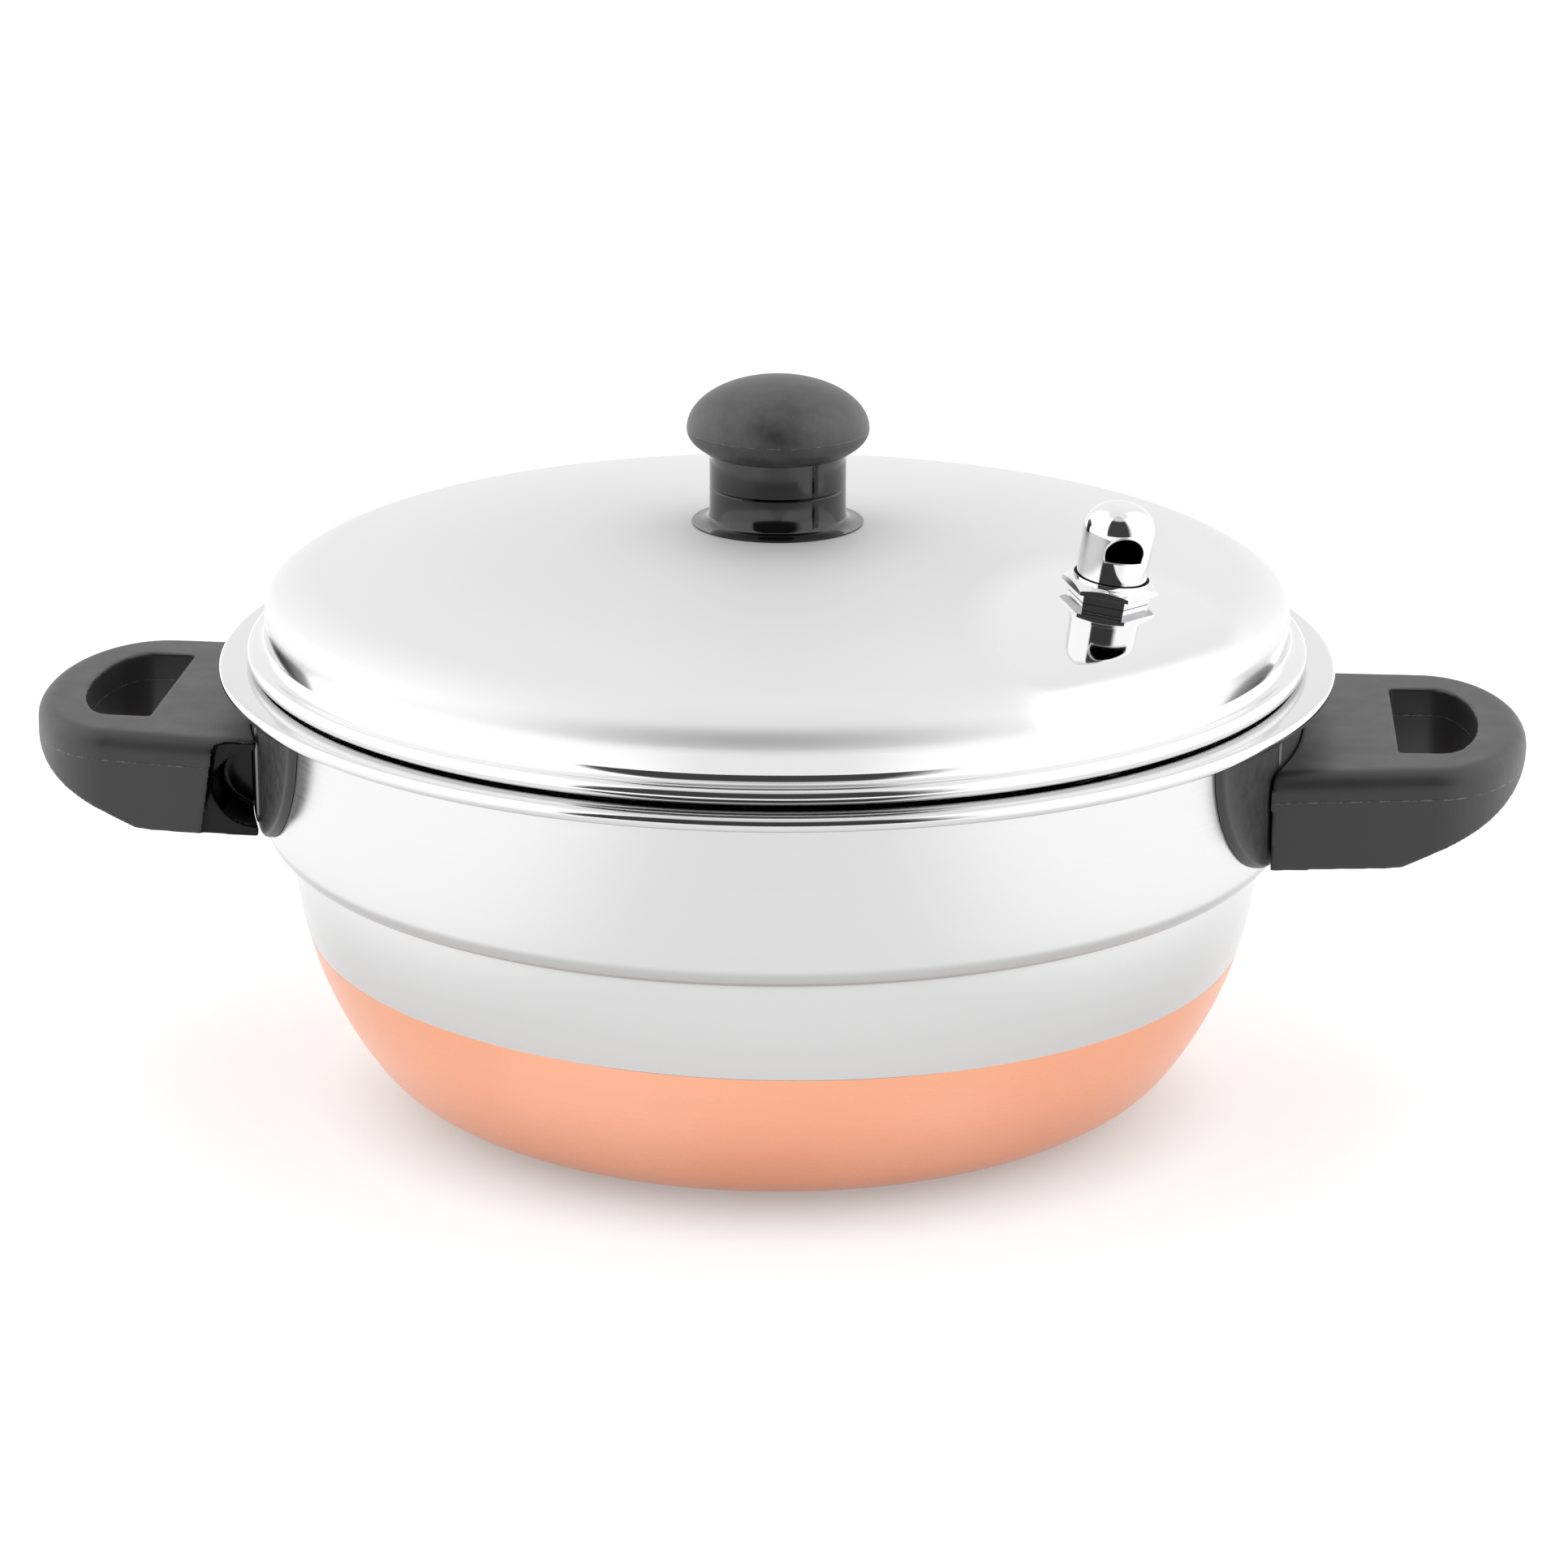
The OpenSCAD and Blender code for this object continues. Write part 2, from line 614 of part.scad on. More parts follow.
module handle_screws() color(screw_colour) both_sides()
    translate([handle_screw_x, 0, handle_head_z]) mirror([0, 0, 1])
        round_screw(insert_low_z + handle_insert_l * thread_in_share - handle_head_z);

module handle_washers() color(screw_colour) both_sides()
    translate([handle_screw_x, 0, handle_head_z]) linear_extrude(height = handle_washer_t) difference() {
        circle(d = handle_washer_d, $fn = small_fn);
        circle(d = screw_d + 2 * rod_clear, $fn = small_fn);
    }

module handle_inserts() color(brass_colour) both_sides()
    translate([handle_screw_x, 0, insert_low_z]) linear_extrude(height = handle_insert_l) difference() {
        circle(d = insert_d, $fn = small_fn);
        circle(d = screw_d + 2 * thread_gap, $fn = small_fn);
    }

// Carries a shape to the vent's place, with the lid's outer face there at z = 0
module at_vent() {
    rotate([0, 0, vent_angle]) translate([vent_r, 0, dome_z(vent_r)]) rotate([0, vent_tilt, 0])
        rotate([0, 0, vent_turn]) children();
}

module lid_shell() color(steel_colour) {
    difference() {
        rotate_extrude($fn = round_fn) polygon(between(lid_path, -sheet_t / 2, sheet_t / 2));
        at_vent() translate([0, 0, -sheet_t - cut_over])
            cylinder(d = vent_thread_d + 2 * rod_clear, h = sheet_t + 2 * cut_over, $fn = small_fn);
    }
}

module knob_collar() color(gloss_colour) {
    seat = [for (i = [0:cap_steps]) let (r = knob_hole_r + (foot_r - knob_hole_r) * i / cap_steps)
        [r, dome_z(r) + seat_gap]];
    foot_z = dome_z(foot_r) + seat_gap;
    rotate_extrude($fn = round_fn) polygon(concat(seat,
        pulled([foot_r, foot_z + foot_edge_t], [stem_r + foot_edge_t, foot_z + foot_edge_t],
            [stem_r, foot_z + foot_rise], cap_steps / 3),
        [[stem_r, cap_low_z - joint_chamfer], [stem_r - joint_chamfer, cap_low_z],
         [knob_hole_r, cap_low_z]]));
}

module knob_cap() color(moulded_colour) {
    under_turn = acos(stem_r / cap_r);
    rotate_extrude($fn = round_fn) polygon(concat(
        [[0, cap_low_z + insert_low_gap + insert_l + thread_gap],
         [insert_d / 2 + thread_gap, cap_low_z + insert_low_gap + insert_l + thread_gap],
         [insert_d / 2 + thread_gap, cap_low_z], [stem_r - joint_chamfer, cap_low_z],
         [stem_r, cap_low_z + joint_chamfer]],
        oval([0, cap_mid_z], cap_r, under_cap_h, -under_turn, 0, cap_steps / 2),
        oval([0, cap_mid_z], cap_r, crown_h, cap_steps / 3, quarter, cap_steps)));
}

module knob_insert() color(brass_colour) {
    z0 = cap_low_z + insert_low_gap;
    inner = screw_d / 2 + thread_gap;
    outer = insert_d / 2;
    groove_low = z0 + insert_l / 3;
    groove_top = z0 + insert_l * 2 / 3;
    rotate_extrude($fn = small_fn) polygon([
        [inner, z0], [outer, z0], [outer, groove_low], [outer - insert_groove, groove_low + insert_groove],
        [outer - insert_groove, groove_top - insert_groove], [outer, groove_top],
        [outer, z0 + insert_l], [inner, z0 + insert_l]]);
}

knob_seat_z = dome_z(knob_washer_d / 2) - sheet_t - seat_gap;
knob_head_z = knob_seat_z - knob_washer_t;
knob_screw_l = cap_low_z + insert_low_gap + insert_l * thread_in_share - knob_head_z;

module knob_washer() color(screw_colour) {
    translate([0, 0, knob_head_z]) linear_extrude(height = knob_washer_t) difference() {
        circle(d = knob_washer_d, $fn = small_fn);
        circle(d = screw_d + 2 * rod_clear, $fn = small_fn);
    }
}

module knob_screw() color(screw_colour)
    translate([0, 0, knob_head_z]) mirror([0, 0, 1]) round_screw(knob_screw_l);

module vent_nipple() color(steel_colour) at_vent() {
    ring_z = vent_hex_h + vent_lip_h + vent_cone_h;
    tube_d = vent_cap_d - 2 * vent_wall_t - 2 * thread_gap;
    difference() {
        union() {
            rotate([0, 0, vent_hex_turn]) cylinder(d = vent_hex_corner_d, h = vent_hex_h, $fn = hex_fn);
            intersection() {
                translate([0, 0, vent_hex_h]) rotate([0, 0, vent_hex_turn])
                    cylinder(d = vent_lip_corner_d, h = vent_lip_h + vent_cone_h, $fn = hex_fn);
                translate([0, 0, vent_hex_h]) rotate_extrude($fn = small_fn) polygon([
                    [0, 0], [vent_lip_corner_d / 2, 0], [vent_lip_corner_d / 2, vent_lip_h],
                    [vent_ring_d / 2, vent_lip_h + vent_cone_h], [0, vent_lip_h + vent_cone_h]]);
            }
            translate([0, 0, ring_z]) cylinder(d = vent_ring_d, h = vent_ring_h, $fn = small_fn);
            cylinder(d = tube_d, h = vent_flat_z - seat_gap, $fn = small_fn);
            translate([0, 0, -vent_thread_l])
                cylinder(d = vent_thread_d, h = vent_thread_l + cut_over, $fn = small_fn);
        }
        translate([0, 0, -vent_thread_l - cut_over])
            cylinder(d = vent_bore_d, h = vent_thread_l + vent_h, $fn = small_fn);
    }
}

module vent_cap() color(steel_colour) at_vent() {
    outer = vent_cap_d / 2;
    inner = outer - vent_wall_t;
    inner_fillet = vent_dome_fillet - vent_wall_t;
    low_z = vent_base_h + seat_gap;
    difference() {
        rotate_extrude($fn = small_fn) polygon(concat(
            [[inner, low_z], [outer, low_z]],
            arc([outer - vent_dome_fillet, vent_h - vent_dome_fillet], vent_dome_fillet, 0, quarter),
            [[0, vent_h], [0, vent_h - vent_wall_t]],
            arc([inner - inner_fillet, vent_h - vent_wall_t - inner_fillet], inner_fillet, quarter, 0)));
        intersection() {
            translate([0, 0, vent_hole_z]) rotate([0, quarter, 0])
                cylinder(d = vent_hole_d, h = vent_cap_d, $fn = small_fn);
            translate([0, -vent_cap_d, vent_flat_z]) cube([vent_cap_d, 2 * vent_cap_d, vent_h]);
        }
    }
}

module vent_gasket() color(silicone_colour) at_vent()
    translate([0, 0, -vent_under - vent_gasket_t]) linear_extrude(height = vent_gasket_t) difference() {
        circle(d = vent_gasket_d, $fn = small_fn);
        circle(d = vent_thread_d + 2 * thread_gap, $fn = small_fn);
    }

module vent_nut() color(steel_colour) at_vent()
    translate([0, 0, -vent_under - vent_gasket_t - vent_nut_h]) difference() {
        cylinder(d = vent_nut_corner_d, h = vent_nut_h, $fn = hex_fn);
        translate([0, 0, -cut_over])
            cylinder(d = vent_thread_d + 2 * thread_gap, h = vent_nut_h + 2 * cut_over, $fn = small_fn);
    }

// Middle of a cup's sheet from its lowest point to the land that joins it to the plate
cup_edge_turn = asin(cup_r / cup_sphere_r);
cup_path = chain([
    arc([0, cup_sphere_r - cup_depth + plate_t / 2], cup_sphere_r, -quarter, cup_edge_turn - quarter),
    [[cup_r, plate_t / 2], [cup_r + cup_land, plate_t / 2]]
]);

// Middle of a plate's sheet from the rod's hole to the top of its upturned lip
plate_path = chain([
    [[rod_d / 2 + rod_clear, plate_t / 2], [plate_r - plate_t / 2 - plate_lip_bend_r, plate_t / 2]],
    arc([plate_r - plate_t / 2 - plate_lip_bend_r, plate_t / 2 + plate_lip_bend_r],
        plate_lip_bend_r, -quarter, 0),
    [[plate_r - plate_t / 2, plate_t / 2 + plate_lip_bend_r], [plate_r - plate_t / 2, plate_lip_h]]
]);

// Places its children at every cup of a plate
module at_cups(turn) {
    for (i = [0:cup_count - 1])
        rotate([0, 0, turn + i * 2 * half_turn / cup_count]) translate([cup_ring_r, 0, 0]) children();
}

module idli_plate(z, turn) translate([0, 0, z]) {
    difference() {
        union() {
            difference() {
                rotate_extrude($fn = round_fn) polygon(between(plate_path, -plate_t / 2, plate_t / 2));
                at_cups(turn) translate([0, 0, -cut_over])
                    cylinder(r = cup_r + cup_land / 2, h = plate_t + 2 * cut_over, $fn = small_fn);
            }
            at_cups(turn) rotate_extrude($fn = small_fn)
                polygon(between(cup_path, -plate_t / 2, plate_t / 2));
        }
        at_cups(turn) for (k = [0:steam_holes - 1]) rotate([0, 0, k * 2 * half_turn / steam_holes])
            translate([cup_r * steam_hole_ring_share, 0, -cup_depth - cut_over])
                cylinder(d = steam_hole_d, h = cup_depth, $fn = small_fn / 2);
    }
}

module idli_plate_lower() color(steel_colour) idli_plate(plate_z, 0);
module idli_plate_upper() color(steel_colour) idli_plate(upper_plate_z, half_turn / cup_count);

rod_nut_z = plate_z - stack_washer_t - rod_nut_h;

module stack_rod() color(steel_colour) {
    low_z = rod_nut_z - rod_low_over;
    translate([0, 0, low_z])
        cylinder(d = rod_d, h = wing_z + wing_hub_h + rod_top_over - low_z, $fn = small_fn);
}

module rod_nut() color(screw_colour) translate([0, 0, rod_nut_z]) difference() {
    cylinder(d = rod_nut_corner_d, h = rod_nut_h, $fn = hex_fn);
    translate([0, 0, -cut_over])
        cylinder(d = rod_d + 2 * thread_gap, h = rod_nut_h + 2 * cut_over, $fn = small_fn);
}

module stack_washers() color(screw_colour)
    for (z = [plate_z - stack_washer_t, upper_plate_z + plate_t])
        translate([0, 0, z]) linear_extrude(height = stack_washer_t) difference() {
            circle(d = stack_washer_d, $fn = small_fn);
            circle(d = rod_d + 2 * rod_clear, $fn = small_fn);
        }

module plate_spacer() color(steel_colour)
    translate([0, 0, plate_z + plate_t]) linear_extrude(height = plate_pitch - plate_t) difference() {
        circle(d = spacer_d, $fn = small_fn);
        circle(d = rod_d + 2 * rod_clear, $fn = small_fn);
    }

// Hub with two rounded wings, which is also what the stack is lifted by
module wing_nut() color(screw_colour) translate([0, 0, wing_z]) {
    wing_x = wing_span / 2 - wing_tip_r;
    difference() {
        union() {
            cylinder(d = wing_hub_d, h = wing_hub_h, $fn = small_fn);
            for (end = [0, half_turn]) rotate([0, 0, end]) translate([0, wing_t / 2, 0])
                rotate([quarter, 0, 0]) linear_extrude(height = wing_t) union() {
                    translate([wing_x, wing_rise]) circle(r = wing_tip_r, $fn = small_fn);
                    polygon([[0, 0], [wing_hub_d / 2, 0], [wing_x + wing_tip_r * cos(half_turn / 4),
                        wing_rise - wing_tip_r * sin(half_turn / 4)], [wing_x, wing_rise],
                        [wing_x - wing_tip_r * cos(half_turn / 4),
                        wing_rise + wing_tip_r * sin(half_turn / 4)], [0, wing_hub_h]]);
                }
        }
        translate([0, 0, -cut_over])
            cylinder(d = rod_d + 2 * rod_clear, h = wing_hub_h + 2 * wing_rise, $fn = small_fn);
    }
}

pot_shell();
copper_base();
handle_bracket(-1);  // handle_bracket_left
handle_bracket(1);  // handle_bracket_right
handle_saddle(-1);  // handle_saddle_left
handle_saddle(1);  // handle_saddle_right
handle_backplate(-1);  // handle_backplate_left
handle_backplate(1);  // handle_backplate_right
handle_grip(-1);  // handle_grip_left
handle_grip(1);  // handle_grip_right
handle_screws();
handle_washers();
handle_inserts();
lid_shell();
knob_cap();
knob_collar();
knob_insert();
knob_screw();
knob_washer();
vent_nipple();
vent_cap();
vent_gasket();
vent_nut();
stack_rod();
rod_nut();
stack_washers();
plate_spacer();
idli_plate_lower();
idli_plate_upper();
wing_nut();
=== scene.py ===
# Idli steamer: finishes, dressed pieces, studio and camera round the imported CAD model
import math
import bpy
from mathutils import Matrix, Vector


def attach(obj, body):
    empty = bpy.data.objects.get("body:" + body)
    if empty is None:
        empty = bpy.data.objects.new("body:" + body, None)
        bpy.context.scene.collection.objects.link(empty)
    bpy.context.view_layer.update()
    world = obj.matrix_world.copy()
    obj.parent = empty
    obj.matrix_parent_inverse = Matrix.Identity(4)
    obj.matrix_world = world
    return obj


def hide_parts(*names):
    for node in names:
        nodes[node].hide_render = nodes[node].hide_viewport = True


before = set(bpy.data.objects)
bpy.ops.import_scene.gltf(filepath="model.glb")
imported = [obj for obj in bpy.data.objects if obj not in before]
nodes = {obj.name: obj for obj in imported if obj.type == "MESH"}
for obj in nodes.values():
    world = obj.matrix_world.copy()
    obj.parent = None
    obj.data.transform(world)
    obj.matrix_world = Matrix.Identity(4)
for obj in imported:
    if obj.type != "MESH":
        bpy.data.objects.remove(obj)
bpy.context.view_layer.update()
print("frame loaded:", len(nodes), "nodes")

smoothStep = {"interpolation_type": "SMOOTHSTEP"}
colourMix = {"data_type": "RGBA"}
noiseSpan = {"From Min": 0.3, "From Max": 0.7}  # nearly all values of a noise texture lie between these
mergeWithin = 0.000002                          # metres, points closer than this are one


def linearColour(hexCode):
    # a shader socket takes linear values, a colour picker gives sRGB
    shares = [int(hexCode[i:i + 2], 16) / 255 for i in (1, 3, 5)]
    return [s / 12.92 if s <= 0.04045 else ((s + 0.055) / 1.055) ** 2.4 for s in shares] + [1]


def addNode(tree, kind, settings={}, sockets={}, links={}):
    node = tree.nodes.new("ShaderNode" + kind)
    for name, value in settings.items():
        setattr(node, name, value)
    for name, value in sockets.items():
        node.inputs[name].default_value = value
    for name, source in links.items():
        tree.links.new(source, node.inputs[name])
    return node


def newMaterial(name):
    material = bpy.data.materials.new(name)
    material.use_nodes = True
    tree = material.node_tree
    tree.nodes.clear()
    return material, tree


# the studio, in millimetres and degrees where no note says otherwise
studio = {
    "turn": 4.7,            # the photographer stands this far round to the right of the front
    "cameraPlace": (1.78, -1000, 391.27),   # before that turn
    "pitch": 17.876,        # the camera looks down this much
    "roll": 0.2865,
    "lens": 101.58,
    "sensor": 36,
    "clip": (0.01, 50),     # metres
    "floorSize": 4,         # metres
    "floorDrop": 0.2,       # the table lies this far below the pot's foot, so that the two don't merge
    "floorWhite": 0.4,
    "floorPaintedGlow": 0.3,       # painted glow of the table, lowest right under the pot: a painted shadow there
    "floorRise": 0.36,      # more painted glow out of the pot's painted shadow
    "shadowAhead": 22,      # the middle of that painted shadow is in front of the pot's axis
    "shadowSize": (112, 98),
    "shadowCore": 0.6,      # share of that size from which the shadow fades
    "floorSide": 0.34,      # and more painted glow again towards the tents
    "sideFrom": 110,
    "sideTo": 330,
    "backdrop": 1.42,       # brightness behind the pot
    "backdropFrom": 132,    # round from the photographer
    "backdropTo": 150,
    "overhead": 1.35,
    "overheadFrom": 58,     # above level
    "overheadTo": 74,
    "sides": 2.2,           # the light tents
    "roomDark": 0.08,       # the dark room behind the photographer
    "roomWide": 42,         # to each side that it takes up
    "roomFade": 16,         # over this a curtain at its right side lets light in
    "roomTop": 62,          # above level
    "roomAbove": 1.0,       # its ceiling
    "leftBlur": 3,          # how soft its left edge is, and its other edges
    "roomBlur": 4,
}


def makeCamera(s):
    data = bpy.data.cameras.new("photoCamera")
    data.lens = s["lens"]
    data.sensor_width = s["sensor"]
    data.clip_start, data.clip_end = s["clip"]
    camera = bpy.data.objects.new("photoCamera", data)
    bpy.context.scene.collection.objects.link(camera)
    turn = Matrix.Rotation(math.radians(s["turn"]), 4, "Z")
    place = Matrix.Translation(Vector(s["cameraPlace"]) / 1000)
    look = Matrix.Rotation(math.radians(90 - s["pitch"]), 4, "X")
    roll = Matrix.Rotation(math.radians(s["roll"]), 4, "Z")
    camera.matrix_world = turn @ place @ look @ roll
    bpy.context.scene.camera = camera


def makeFloor(s):
    bpy.ops.mesh.primitive_plane_add(size=s["floorSize"], location=(0, 0, -s["floorDrop"] / 1000))
    floor = bpy.context.object
    floor.name = "studioFloor"
    material, tree = newMaterial("whiteTableWithPaintedGlow")
    wide, deep = s["shadowSize"]
    coords = addNode(tree, "TexCoord")
    turned = addNode(tree, "Mapping", {}, {"Rotation": (0, 0, math.radians(-s["turn"]))},
                     {"Vector": coords.outputs["Object"]})
    moved = addNode(tree, "Mapping", {}, {"Location": (0, s["shadowAhead"] / deep, 0),
                                          "Scale": (1000 / wide, 1000 / deep, 1)},
                    {"Vector": turned.outputs[0]})
    away = addNode(tree, "VectorMath", {"operation": "LENGTH"}, links={0: moved.outputs[0]})
    # painted shadow: the table's glow drops under the pot
    low = addNode(tree, "MapRange", smoothStep,
                  {"From Min": s["shadowCore"], "From Max": 1, "To Min": s["floorPaintedGlow"],
                   "To Max": s["floorPaintedGlow"] + s["floorRise"]}, {"Value": away.outputs["Value"]})
    split = addNode(tree, "SeparateXYZ", links={0: turned.outputs[0]})
    across = addNode(tree, "Math", {"operation": "ABSOLUTE"}, links={0: split.outputs["X"]})
    # painted light: the table glows more towards the tents
    side = addNode(tree, "MapRange", smoothStep,
                   {"From Min": s["sideFrom"] / 1000, "From Max": s["sideTo"] / 1000,
                    "To Max": s["floorSide"]}, {"Value": across.outputs[0]})
    paintedGlow = addNode(tree, "Math", {"operation": "ADD"}, links={0: low.outputs[0], 1: side.outputs[0]})
    diffuse = addNode(tree, "BsdfDiffuse", {}, {"Color": [s["floorWhite"]] * 3 + [1]})
    # the table glows though it is no lamp: painted light and painted shadow
    paintedGlowShader = addNode(tree, "Emission", links={"Strength": paintedGlow.outputs[0]})
    both = addNode(tree, "AddShader", links={0: diffuse.outputs[0], 1: paintedGlowShader.outputs[0]})
    addNode(tree, "OutputMaterial", links={"Surface": both.outputs[0]})
    floor.data.materials.append(material)


def makeWorld(s):
    # light tents at both sides, a paper backdrop, a dimmer room behind the photographer
    world = bpy.data.worlds.new("softStudio")
    world.use_nodes = True
    tree = world.node_tree
    tree.nodes.clear()
    coords = addNode(tree, "TexCoord")
    turned = addNode(tree, "Mapping", {}, {"Rotation": (0, 0, math.radians(-s["turn"]))},
                     {"Vector": coords.outputs["Generated"]})
    split = addNode(tree, "SeparateXYZ", links={0: turned.outputs[0]})
    across = addNode(tree, "Math", {"operation": "ABSOLUTE"}, links={0: split.outputs["X"]})
    front = addNode(tree, "Math", {"operation": "MULTIPLY"}, {1: -1}, {0: split.outputs["Y"]})
    # angle round from the photographer, 0 to pi, and height above level
    around = addNode(tree, "Math", {"operation": "ARCTAN2"},
                     links={0: across.outputs[0], 1: front.outputs[0]})
    height = addNode(tree, "Math", {"operation": "ARCSINE"}, links={0: split.outputs["Z"]})

    def band(source, start, end):
        # 1 below the start, 0 above the end
        return addNode(tree, "MapRange", smoothStep,
                       {"From Min": math.radians(end), "From Max": math.radians(start)},
                       {"Value": source.outputs[0]})

    def mixed(share, low, high):
        # low where the share is 0, high where it is 1; each a number or a node
        node = addNode(tree, "Mix", links={0: share.outputs[0]})
        for index, value in ((2, low), (3, high)):
            if isinstance(value, (int, float)):
                node.inputs[index].default_value = value
            else:
                tree.links.new(value.outputs[0], node.inputs[index])
        return node

    behind = band(around, s["backdropFrom"], s["backdropTo"])
    tents = mixed(behind, s["backdrop"], s["sides"])
    top = band(height, s["overheadFrom"], s["overheadTo"])
    sky = mixed(top, s["overhead"], tents)
    leftHalf = band(around, s["roomWide"] - s["leftBlur"], s["roomWide"] + s["leftBlur"])
    rightHalf = band(around, s["roomWide"] - s["roomFade"], s["roomWide"] + s["roomBlur"])
    onRight = addNode(tree, "Math", {"operation": "GREATER_THAN"}, {1: 0}, {0: split.outputs["X"]})
    inRoom = mixed(onRight, leftHalf, rightHalf)
    roomLow = band(height, s["roomTop"] - s["roomBlur"], s["roomTop"] + s["roomBlur"])
    room = mixed(roomLow, s["roomAbove"], s["roomDark"])
    strength = mixed(inRoom, sky, room)
    light = addNode(tree, "Background", links={"Strength": strength.outputs[0]})
    addNode(tree, "OutputWorld", links={"Surface": light.outputs[0]})
    bpy.context.scene.world = world


makeCamera(studio)
makeFloor(studio)
makeWorld(studio)
bpy.context.scene.view_settings.view_transform = "Standard"
print("studio ready")


# the finishes
def sheenSpan(look, span=noiseSpan):
    return span | {"To Min": look["roughLow"], "To Max": look["roughHigh"]}


def colourPair(look, other):
    # the two colours that a Mix node goes between
    return {6: linearColour(look["colour"]), 7: linearColour(look[other])}


def turnedSheen(tree, look):
    # marks of polishing on a lathe run round the pot's axis: noise of radius and height only
    coords = addNode(tree, "TexCoord")
    flat = addNode(tree, "VectorMath", {"operation": "MULTIPLY"}, {1: (1, 1, 0)},
                   {0: coords.outputs["Object"]})
    radius = addNode(tree, "VectorMath", {"operation": "LENGTH"}, links={0: flat.outputs[0]})
    split = addNode(tree, "SeparateXYZ", links={0: coords.outputs["Object"]})
    rings = addNode(tree, "CombineXYZ", links={"X": radius.outputs["Value"], "Z": split.outputs["Z"]})
    lines = addNode(tree, "TexNoise", {}, {"Scale": 1000 / look["line"], "Detail": 3},
                    {"Vector": rings.outputs[0]})
    rough = addNode(tree, "MapRange", {}, sheenSpan(look), {"Value": lines.outputs["Fac"]})
    return coords, split, rough


def mottledSheen(tree, look, size, detail, span=noiseSpan):
    # roughness that wanders between two values
    coords = addNode(tree, "TexCoord")
    mottle = addNode(tree, "TexNoise", {}, {"Scale": 1000 / size, "Detail": detail},
                     {"Vector": coords.outputs["Object"]})
    return addNode(tree, "MapRange", {}, sheenSpan(look, span), {"Value": mottle.outputs["Fac"]})


def finishMetal(tree, look, rough, normal=None):
    links = {"Roughness": rough}
    if normal:
        links["Normal"] = normal
    if "colourLedgeShade" in look:
        # a greyer ring painted round the rounded step under the wall: painted shade where the step turns
        # downwards
        coords = addNode(tree, "TexCoord")
        split = addNode(tree, "SeparateXYZ", links={0: coords.outputs["Object"]})
        off = addNode(tree, "Math", {"operation": "SUBTRACT"}, {1: look["ledgeAt"] / 1000},
                      {0: split.outputs["Z"]})
        far = addNode(tree, "Math", {"operation": "ABSOLUTE"}, links={0: off.outputs[0]})
        ring = addNode(tree, "MapRange", smoothStep,
                       {"From Min": look["ledgeHalf"] / 1000, "From Max": look["ledgeHalf"] / 2000},
                       {"Value": far.outputs[0]})
        colour = addNode(tree, "Mix", colourMix, colourPair(look, "colourLedgeShade"), {0: ring.outputs[0]})
        links["Base Color"] = colour.outputs[2]
    shader = addNode(tree, "BsdfPrincipled", {},
                     {"Base Color": linearColour(look["colour"]), "Metallic": 1}, links)
    addNode(tree, "OutputMaterial", links={"Surface": shader.outputs[0]})


def polishedStainless(name, look):
    # stainless steel 304, spun and mirror polished: faint rings, a slow ripple, neutral colour
    material, tree = newMaterial(name)
    coords, split, rough = turnedSheen(tree, look)
    if "zoneRough" in look:
        # buffed to a mirror only round the vent, so that its seat is flat; satin everywhere else
        moved = addNode(tree, "Mapping", {},
                        {"Location": [-v / m for v, m in zip(look["zonePlace"], look["zoneSize"])],
                         "Scale": [1000 / m for m in look["zoneSize"]]},
                        {"Vector": coords.outputs["Object"]})
        away = addNode(tree, "VectorMath", {"operation": "LENGTH"}, links={0: moved.outputs[0]})
        knobWay = addNode(tree, "VectorMath", {"operation": "LENGTH"}, links={0: coords.outputs["Object"]})
        satin = addNode(tree, "MapRange", smoothStep,
                        {"From Min": look["satinFrom"] / 1000, "From Max": look["satinTo"] / 1000,
                         "To Min": look["satinRough"], "To Max": look["zoneRough"]},
                        {"Value": knobWay.outputs["Value"]})
        rough = addNode(tree, "MapRange", smoothStep,
                        {"From Min": look["zoneFade"][0], "From Max": look["zoneFade"][1]},
                        {"Value": away.outputs["Value"], "To Min": rough.outputs[0],
                         "To Max": satin.outputs[0]})
    if "rimRough" in look:
        # the rolled rim is polished last and comes out the brightest
        rough = addNode(tree, "MapRange", smoothStep,
                        {"From Min": look["rimFrom"] / 1000, "From Max": look["rimTo"] / 1000,
                         "To Max": look["rimRough"]},
                        {"Value": split.outputs["Z"], "To Min": rough.outputs[0]})
    ripple = addNode(tree, "TexNoise", {}, {"Scale": 1000 / look["ripple"], "Detail": 1},
                     {"Vector": coords.outputs["Object"]})
    bump = addNode(tree, "Bump", {}, {"Strength": 1, "Distance": look["rippleDeep"] / 1000},
                   {"Height": ripple.outputs["Fac"]})
    finishMetal(tree, look, rough.outputs[0], bump.outputs[0])
    return material


def copperPlating(look):
    # electroplated copper, satin brushed on a lathe: soft streaks round the bowl, pinkish
    material, tree = newMaterial("copperPlating")
    coords, _, rough = turnedSheen(tree, look)
    cloudy = addNode(tree, "TexNoise", {}, {"Scale": 1000 / look["cloud"], "Detail": 2},
                     {"Vector": coords.outputs["Object"]})
    tint = addNode(tree, "MapRange", {}, look["cloudSpan"], {"Value": cloudy.outputs["Fac"]})
    colour = addNode(tree, "Mix", colourMix, colourPair(look, "colourAged"), {0: tint.outputs[0]})
    shader = addNode(tree, "BsdfPrincipled", {}, {"Metallic": 1},
                     {"Base Color": colour.outputs[2], "Roughness": rough.outputs[0]})
    addNode(tree, "OutputMaterial", links={"Surface": shader.outputs[0]})
    return material


